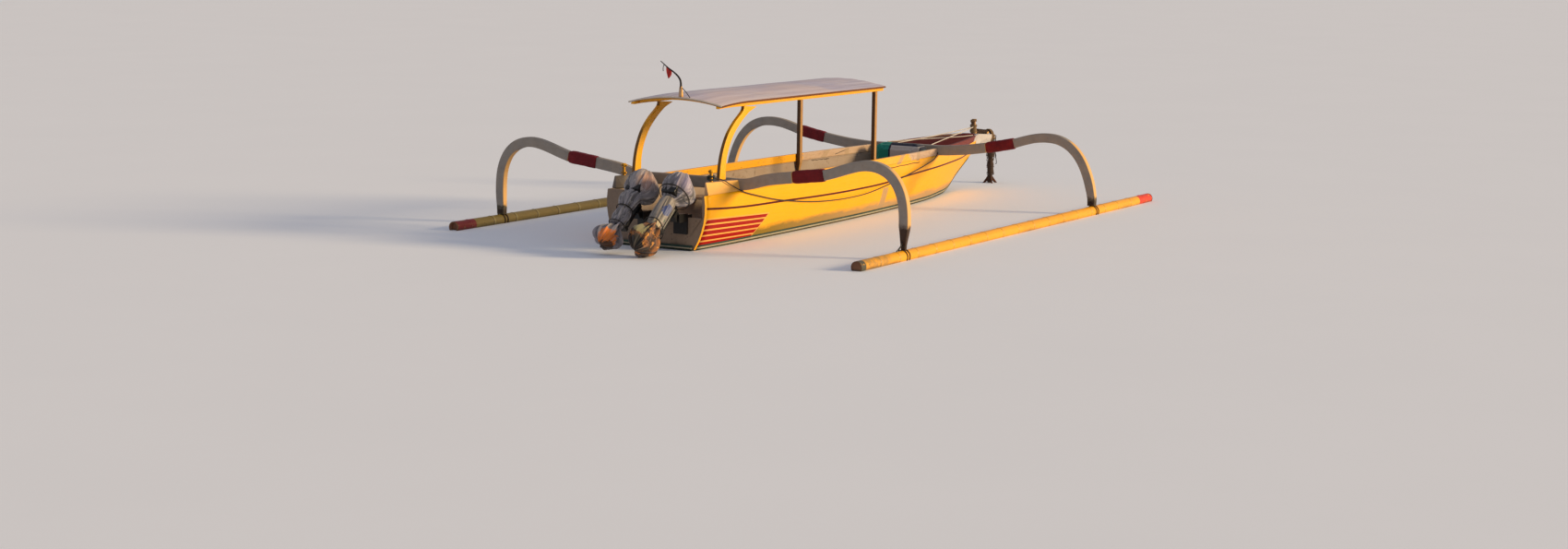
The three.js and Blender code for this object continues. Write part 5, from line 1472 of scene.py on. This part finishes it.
class CANOE_OT_motors(bpy.types.Operator):
    """Dress the outboard motors with cloth covers, wrapped legs, bags and ties"""

    bl_idname = "canoe.motors"
    bl_label = "Motors"

    def execute(self, context):
        depth = context.scene.canoe_cloth.fold_depth / MM
        for side, y in MOTOR_ROWS.items():
            ties = [row for row in TIES if row[2] == side]
            for k, (piece, rings, share, finish, counts, nodes) in enumerate(CLOTH_LAYERS):
                pinches = [(z, pinch) for _, layer, _, z, _, pinch, _ in ties if layer == piece]
                wrapped_cloth(f"{piece}_{side}", side, rings[side], pinches, depth * share,
                              3 + 5 * k + len(side), finish[side], counts,
                              replaces=[f"{node}_{side}" for node in nodes],
                              slot="rag_cloth" if finish[side] == "rag" else "cover_cloth")
                for name, layer, _, z, lean, pinch, diameter in ties:
                    if layer == piece:
                        tie_cord(f"{name}_{side}", side, rings[side], z, lean, pinch, diameter)
            for name in ("clamp", "swivel", "leg"):
                paint_node(f"{name}_{side}", "enamel", 0.003)
            paint_node(f"powerhead_{side}", "enamel", 0.004)
            for k, off in ((1, -SCREW_APART / 2), (2, SCREW_APART / 2)):
                self.clamp_screw(f"{side}_{k}", y + off)
        return {"FINISHED"}

    def clamp_screw(self, label, y):
        """Thumbscrew through the hook: a turned shank profile, and a cross handle that swells at its ends."""
        angle = circle(18)
        x, radius = np.array(SCREW_PROFILE, float).T[..., None]
        shank = grid(x, y + radius * np.cos(angle), SCREW_Z + radius * np.sin(angle))
        surface(f"clamp_screw_{label}", shank, "enamel")
        share = np.linspace(-1, 1, 15)[:, None]
        radius = 4.5 + 2.5 * np.exp(-((np.abs(share) - 1) / 0.12) ** 2)
        radius[[0, -1]] = 1.0
        handle = grid(HANDLE_X + radius * np.cos(angle), y + HANDLE_HALF * share,
                      SCREW_Z + radius * np.sin(angle))
        surface(f"clamp_handle_{label}", handle, "enamel")


# Bow and stern fittings, in metres

POST_X = 3.768
LASHING_AT = (4.231, 0, 0.628)
ANCHOR_X = 4.2987
# Windings of rope. Columns: piece, material, diameter, centre, axis, radius of the winding, rise, turns,
# how much the radius wobbles, its waves in radians, how far it is squashed, and what else the rope needs
WINDINGS = [
    ("post_winding", "tan_rope", 0.013, (POST_X, 0, 0.745), (0, 0, 1), 0.037, 0.10, 8, 0.004, 9, 1, {}),
    ("post_top_turns", "tan_rope", 0.012, (POST_X, 0, 0.845), (0.2, 0.3, 1), 0.036, 0.03, 3, 0, 0, 1, {}),
    ("spar_winding", "brown_rope", 0.013, (3.99, 0, 0.690), (1, 0, -0.11), 0.026, 0.30, 17, 0.003, 31, 1,
     {"up": (1, 0, 0)}),
    ("anchor_lashing_turns", "tan_rope", 0.014, LASHING_AT, (1, 0, 0), 0.055, 0.055, 5, 0.006, 17, 1.35,
     {"up": (1, 0, 0), "replaces": ["anchor_lashing"]}),
    ("anchor_lashing_core", "brown_rope", 0.022, LASHING_AT, (1, 0, 0), 0.036, 0.05, 5, 0.006, 11, 1.3,
     {"up": (1, 0, 0)}),
    ("anchor_bundle", "brown_rope", 0.015, (ANCHOR_X, 0, 0.475), (0.05, 0.02, 1), 0.044, 0.28, 15,
     0.009, 13, 1, {"sides": 8}),
    ("anchor_low_turns", "brown_rope", 0.012, (ANCHOR_X, 0, 0.210), (-0.04, 0.03, 1), 0.041, 0.22, 11,
     0.005, 15, 1, {"sides": 8}),
    ("anchor_top_turns", "tan_rope", 0.014, (ANCHOR_X, 0, 0.600), (0.3, 0.1, 1), 0.050, 0.06, 4,
     0.006, 17, 1, {"sides": 8}),
]
# Loops that hang from the anchor. Columns: x and y from the shank, top, lowest point, how far it stands out
ANCHOR_LOOPS = [
    (0.052, 0.004, 0.62, 0.28, 0.046),
    (0.050, -0.022, 0.60, 0.38, 0.034),
    (0.046, 0.020, 0.52, 0.26, 0.022),
    (0.050, -0.006, 0.36, 0.13, 0.018),
    (-0.060, -0.020, 0.60, 0.44, -0.020),
    (0.034, -0.056, 0.62, 0.24, 0.012),
    (0.028, -0.048, 0.57, 0.33, 0.018),
]
# Anchor shank in mm. Columns: z, radius
SHANK_RADII = np.array([(-10, 24), (60, 34), (240, 39), (490, 36), (600, 33), (650, 18)], float)
# White ropes over the foredeck. Rows: x, y, z
DECK_ROPES = {
    "starboard": [
        (1.905, -0.34, 0.686), (2.3, -0.262, 0.700), (3.0, -0.135, 0.728), (3.5, -0.052, 0.752),
        (3.733, -0.012, 0.765),
    ],
    "middle": [(1.905, 0.12, 0.686), (2.5, 0.085, 0.702), (3.2, 0.042, 0.732), (3.733, 0.012, 0.760)],
    "port": [
        (2.15, 0.385, 0.668), (2.5, 0.21, 0.676), (2.9, 0.02, 0.682), (3.2, -0.10, 0.684),
        (3.42, -0.16, 0.690),
    ],
}
STERN_POST_X, STERN_POST_Y = -3.424, 0.537
# Crossbars on the port mooring post. Columns: piece, z, half length
POST_BARS = [("head", 0.80, 0.042), ("foot", 0.722, 0.036)]
# Turned posts have edges rounded only where they are sharper than this many degrees
POST_EDGE = 50


class CANOE_OT_fittings(bpy.types.Operator):
    """Build ropes, anchor, lashings and mooring posts at bow and stern"""

    bl_idname = "canoe.fittings"
    bl_label = "Bow and stern fittings"

    def execute(self, context):
        paint_node("bow_post", "timber_post", 0.003, POST_EDGE)
        paint_node("bow_spar", "arm", 0.003, POST_EDGE)
        for name, _ in SIDES:
            paint_node(f"stern_post_{name}", "post", 0.002, POST_EDGE)
        for name, material, diameter, *helix, more in WINDINGS:
            rope(name, winding(*helix), diameter, material, **more)
        for label, points in DECK_ROPES.items():
            rope(f"deck_rope_{label}", smooth_path(points, 220), 0.012, "white_rope", sides=8)
        self.anchor_shank()
        self.anchor_flukes()
        self.anchor_loops()
        self.post_bars()
        self.rope_ball()
        return {"FINISHED"}

    def anchor_shank(self):
        """Shank: a tapering, lumpy rod under a helical winding, whose ridges are 14 mm apart."""
        z = np.linspace(-0.01, 0.65, 420)[:, None]
        angle = circle(28)
        lumps = 0.005 * np.sin(z * 31 + 1) + 0.004 * np.sin(z * 57)
        ridges = 0.0035 * np.abs(np.sin(np.pi * z / 0.014 + angle / 2)) - 0.004
        radius = table_at(SHANK_RADII, z / MM, 1) * MM + lumps * np.clip(z / 0.1, 0, 1) + ridges
        points = grid(ANCHOR_X + radius * np.cos(angle), radius * np.sin(angle), z, unit=1)
        surface("anchor_shank", points, "brown_rope", replaces=["anchor"], slot="rusty_iron")

    def anchor_flukes(self):
        """Four arms from the shank's foot: an oval section that widens to a blade and ends in a point."""
        share = np.linspace(0, 1, 26)
        reach = 0.005 + 0.118 * share
        drop = 0.085 * (1 - share) ** 1.2 - 0.03 * share
        blade = 0.014 * np.exp(-((share - 0.86) / 0.12) ** 2)
        width = (0.008 + blade - 0.007 * np.clip((share - 0.9) / 0.1, 0, 1))[:, None]
        thick = (0.024 * (1 - share) + 0.004)[:, None]
        for k in range(4):
            turn = math.radians(45 + 90 * k)
            path = np.column_stack([ANCHOR_X + reach * math.cos(turn), reach * math.sin(turn), drop])
            surface(f"anchor_fluke_{k + 1}", tube(path, (0, 0, 1), circle(12), width, thick), "iron")

    def anchor_loops(self):
        """Hanging loops: powers of a sine, down and outwards, with a full sine to and fro."""
        share = np.linspace(0, 1, 60)
        for k, (x, y, top, low, out) in enumerate(ANCHOR_LOOPS):
            path = np.column_stack([
                ANCHOR_X + x + out * np.sin(np.pi * share) ** 1.2, y + 0.012 * np.sin(2 * np.pi * share),
                top + (low - top) * np.sin(np.pi * share / 2) ** 0.8 + 0.05 * np.clip(share - 0.8, 0, 1)])
            rope(f"anchor_loop_{k + 1}", path, 0.010, "dark_rope", up=(0, 1, 0), sides=8)

    def post_bars(self):
        """Crossbars: rods 20 mm thick whose radius falls off over their last millimetres."""
        share = np.linspace(-1, 1, 17)[:, None]
        angle = circle(14)
        radius = 0.010 * np.minimum(1, 0.3 + 8 * (1 - np.abs(share)))
        for label, z, half in POST_BARS:
            bar = grid(STERN_POST_X + radius * np.cos(angle), STERN_POST_Y + half * share,
                       z + radius * np.sin(angle), unit=1)
            surface(f"stern_post_{label}_bar", bar, "post")

    def rope_ball(self):
        """Rope wound into a ball round the post: 13 turns, while the latitude swings to and fro 3.2 times."""
        share = np.linspace(0, 1, 700)
        latitude = np.sin(2 * np.pi * 3.2 * share) * 0.85
        angle = 2 * np.pi * 13 * share
        radius = 0.018 + 0.026 * np.cos(latitude) * (0.75 + 0.25 * np.sin(40 * share))
        path = np.column_stack([
            STERN_POST_X + radius * np.cos(angle), radius * np.sin(angle) - STERN_POST_Y,
            0.737 + 0.030 * np.sin(latitude)])
        rope("rope_ball", path, 0.011, "teal_rope", sides=8)


# Rope along the side and bow cushion

# Columns: x, z, extra distance outboard of the hull side, in mm, as in the part's source
SIDE_ROPE_ROUTE = np.array([
    [-3406, 726, -27.6], [-3365, 724, -22], [-3310, 716, 2], [-3250, 694, 14], [-3170, 656, 8],
    [-3060, 608, 5], [-2920, 556, 2], [-2700, 504, 2], [-2300, 424, 2], [-1930, 372, 3], [-1480, 322, 4],
    [-1030, 292, 6], [-580, 280, 6], [-100, 290, 6], [400, 338, 5], [850, 396, 4], [1250, 452, 3],
    [1560, 504, 3], [1700, 532, 2], [1770, 566, 1], [1818, 604, 0],
], float)
# Its middle lies this far outboard of the hull side, and the extra distance further
SIDE_ROPE_OFF = 15


class CANOE_OT_side_rope(bpy.types.Operator):
    """Hang the rope along the starboard side"""

    bl_idname = "canoe.side_rope"
    bl_label = "Side rope"

    def execute(self, context):
        x, z, extra = SIDE_ROPE_ROUTE.T
        path = smooth_path(grid(x, -(hull_y(x, z) + SIDE_ROPE_OFF + extra), z), 1500)
        diameter = context.scene.canoe_cloth.side_rope
        piece = rope("side_rope_laid", path, diameter, "dark_rope", sides=8, replaces=["side_rope"],
                     slot="rope")
        return {"FINISHED"}


class CANOE_OT_cushion(bpy.types.Operator):
    """Build the bow cushion and let it swell"""

    bl_idname = "canoe.cushion"
    bl_label = "Bow cushion"

    def execute(self, context):
        low, high = (np.array(v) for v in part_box("bow_cushion"))
        centre = (low + high) / 2
        # Room for the cloth to swell
        half = (high - low) / 2 - [0.010, 0.010, 0.006]
        # Superellipsoid: squarish in plan, rounder from top to bottom
        rise = np.linspace(-np.pi / 2, np.pi / 2, 60)[:, None]
        flat, up = oblong(rise, 0.22)[0], oblong(rise, 0.5)[1]
        across, along = oblong(circle(160), 0.22)
        waist = flat * (1 - 0.03 * (1 - np.abs(up)) * np.abs(across * along))
        points = grid(centre[0] + half[0] * across * waist, centre[1] + half[1] * along * waist,
                      centre[2] + half[2] * up, unit=1)
        cushion = surface("cushion_stuffed", points, "cushion", replaces=["bow_cushion"],
                          slot="cushion_cloth")
        self.swell(cushion, context.scene.canoe_cloth.swell)
        return {"FINISHED"}

    def baked(self, piece):
        """The piece's mesh as its modifiers leave it."""
        return bpy.data.meshes.new_from_object(piece.evaluated_get(bpy.context.evaluated_depsgraph_get()))

    def swell(self, piece, most):
        """Blow the cushion up as cloth, each point by at most the given distance, then sew its seams in."""
        remesh = piece.modifiers.new("Even mesh", "REMESH")
        remesh.mode = "VOXEL"
        remesh.voxel_size = 0.006
        piece.data = self.baked(piece)
        piece.modifiers.clear()
        start = np.zeros(len(piece.data.vertices) * 3, np.float32)
        piece.data.vertices.foreach_get("co", start)
        cloth = piece.modifiers.new("Filling", "CLOTH").settings
        cloth.use_pressure = True
        cloth.uniform_pressure_force = 4
        cloth.effector_weights.gravity = 0
        cloth.quality = 4
        for step in range(1, 21):
            bpy.context.scene.frame_set(step)
        end = np.zeros_like(start)
        self.baked(piece).vertices.foreach_get("co", end)
        piece.modifiers.clear()
        bpy.context.scene.frame_set(1)
        start, move = start.reshape(-1, 3), (end - start).reshape(-1, 3)
        length = np.linalg.norm(move, axis=1, keepdims=True)
        placed = start + move * np.minimum(1, most / np.maximum(length, 1e-9))
        # Seams 5 mm deep where the panel's binding is sewn on, drawn inwards
        inwards = placed.mean(0) - placed
        inwards /= np.linalg.norm(inwards, axis=1, keepdims=True)
        y, z = placed[:, 1], placed[:, 2]
        seam = sum(np.exp(-((y - edge) / 0.007) ** 2) for edge in BINDING_Y)
        within = (y > PANEL_Y[0]) & (y < PANEL_Y[1])
        seam += within * sum(np.exp(-((z - edge) / 0.006) ** 2) for edge in PANEL_Z)
        placed = placed + inwards * 0.005 * np.minimum(seam, 1)[:, None]
        piece.data.vertices.foreach_set("co", placed.astype(np.float32).ravel())
        piece.data.polygons.foreach_set("use_smooth", np.ones(len(piece.data.polygons), bool))
        piece.data.update()


# Stage

# Place in metres, angles in degrees
CAMERA = {
    "position": (-24.047, -13.474, 3.295), "azimuth": -59.681, "elevation": 8.281, "roll": 0.839,
    "focal_px": 2599.4, "image_width": 1700, "sensor_mm": 36, "reach": 500,
}
# Light is soft, warm and low from starboard, a little forward, with a cool fill from all round
LIGHT = {
    "towards": (0.38, -0.90, 0.27), "key": "#ffe3b4", "key_strength": 3.8, "softness": 12,
    "fill": "#d9dbe6", "fill_strength": 0.52,
}
FLOOR_HALF, FLOOR_LINES = 150, 5


def placed_by(columns):
    """Matrix whose columns are three directions and a place."""
    return Matrix([[column[k] for column in columns] for k in range(3)] + [[0, 0, 0, 1]])


class CANOE_OT_stage(bpy.types.Operator):
    """Set the camera, soft light and pale floor at the waterline"""

    bl_idname = "canoe.stage"
    bl_label = "Stage"

    def execute(self, context):
        self.camera(context.scene)
        self.light(context.scene)
        self.floor(context.scene)
        return {"FINISHED"}

    def camera(self, scene):
        """Camera fitted to the photo: turned by its azimuth and elevation, then rolled about its own view."""
        azimuth, elevation, roll = (math.radians(CAMERA[key]) for key in ("azimuth", "elevation", "roll"))
        level = np.array([math.cos(azimuth), math.sin(azimuth), 0.0])
        ahead = np.array([math.sin(azimuth), -math.cos(azimuth), 0.0])
        back = ahead * math.cos(elevation) + np.array([0.0, 0.0, math.sin(elevation)])
        upright = np.cross(back, level)
        right = level * math.cos(roll) + upright * math.sin(roll)
        up = upright * math.cos(roll) - level * math.sin(roll)
        data = bpy.data.cameras.new("Camera")
        data.sensor_width = CAMERA["sensor_mm"]
        data.lens = CAMERA["focal_px"] / CAMERA["image_width"] * CAMERA["sensor_mm"]
        data.clip_end = CAMERA["reach"]
        scene.camera = bpy.data.objects.new("Camera", data)
        scene.collection.objects.link(scene.camera)
        scene.camera.matrix_world = placed_by([right, up, back, CAMERA["position"]])

    def light(self, scene):
        """A wide sun for the key and an even sky for the fill."""
        scene.world = bpy.data.worlds.new("Studio")
        scene.world.use_nodes = True
        tree = scene.world.node_tree
        feed(tree, tree.nodes["Background"], [LIGHT["fill"], LIGHT["fill_strength"]])
        scene.view_settings.view_transform = "Standard"
        data = bpy.data.lights.new("Low key light", "SUN")
        data.angle = math.radians(LIGHT["softness"])
        data.energy = LIGHT["key_strength"]
        data.color = linear(LIGHT["key"])[:3]
        key = bpy.data.objects.new("Low key light", data)
        scene.collection.objects.link(key)
        towards = np.array(LIGHT["towards"]) / np.linalg.norm(LIGHT["towards"])
        side = np.cross([0, 0, 1], towards)
        side /= np.linalg.norm(side)
        key.matrix_world = placed_by([side, np.cross(towards, side), towards, 3 * towards])

    def floor(self, scene):
        """Flat square at the waterline, matt, with faint blotches 2.5 m across."""
        material, tree, shader, coords = start_finish("Pale matt floor", Roughness=0.9)
        blotches = patches(tree, coords, 2500, 0.3, 0.7)
        feed(tree, shader, {"Base Color": coats(tree, "#f0f3fa", [(blotches, 0.12, "#e2e6ee")])})
        line = np.linspace(-FLOOR_HALF, FLOOR_HALF, FLOOR_LINES)
        points = grid(line[:, None], line, 0.0, unit=1)
        corner = np.arange(FLOOR_LINES - 1)
        first = (corner[:, None] * FLOOR_LINES + corner).reshape(-1, 1)
        quads = first + [0, FLOOR_LINES, FLOOR_LINES + 1, 1]
        mesh = bpy.data.meshes.new("Floor")
        mesh.from_pydata(points.reshape(-1, 3).tolist(), [], quads.tolist())
        mesh.materials.append(material)
        floor = bpy.data.objects.new("Floor", mesh)
        scene.collection.objects.link(floor)


class CANOE_PT_panel(bpy.types.Panel):
    """Shows the canoe's settings and the buttons that build it"""

    bl_idname = "CANOE_PT_panel"
    bl_label = "Outrigger canoe"
    bl_space_type = "VIEW_3D"
    bl_region_type = "UI"
    bl_category = "Canoe"

    def draw(self, context):
        for group in SETTINGS:
            settings = getattr(context.scene, group)
            for key in settings.bl_rna.properties.keys():
                if key not in ("rna_type", "name"):
                    self.layout.prop(settings, key)
        for operator in OPERATORS:
            self.layout.operator(operator.bl_idname)


SETTINGS = {"canoe_hull": HullSettings, "canoe_arms": ArmSettings, "canoe_cloth": ClothSettings}
OPERATORS = (
    CANOE_OT_stage, CANOE_OT_side_rope, CANOE_OT_hull, CANOE_OT_arms, CANOE_OT_floats, CANOE_OT_roof,
    CANOE_OT_motors, CANOE_OT_fittings, CANOE_OT_cushion,
)
CLASSES = (*SETTINGS.values(), *OPERATORS, CANOE_PT_panel)


def register():
    for entry in CLASSES:
        bpy.utils.register_class(entry)
    for key, group in SETTINGS.items():
        setattr(bpy.types.Scene, key, bpy.props.PointerProperty(type=group))


def unregister():
    for key in SETTINGS:
        delattr(bpy.types.Scene, key)
    for entry in reversed(CLASSES):
        bpy.utils.unregister_class(entry)


def main():
    register()
    make_materials()
    bpy.ops.canoe.stage()
    bpy.ops.canoe.side_rope()
    bpy.ops.canoe.hull()
    bpy.ops.canoe.arms()
    bpy.ops.canoe.floats()
    bpy.ops.canoe.roof()
    bpy.ops.canoe.motors()
    bpy.ops.canoe.fittings()
    bpy.ops.canoe.cushion()


if __name__ == "__main__":
    main()
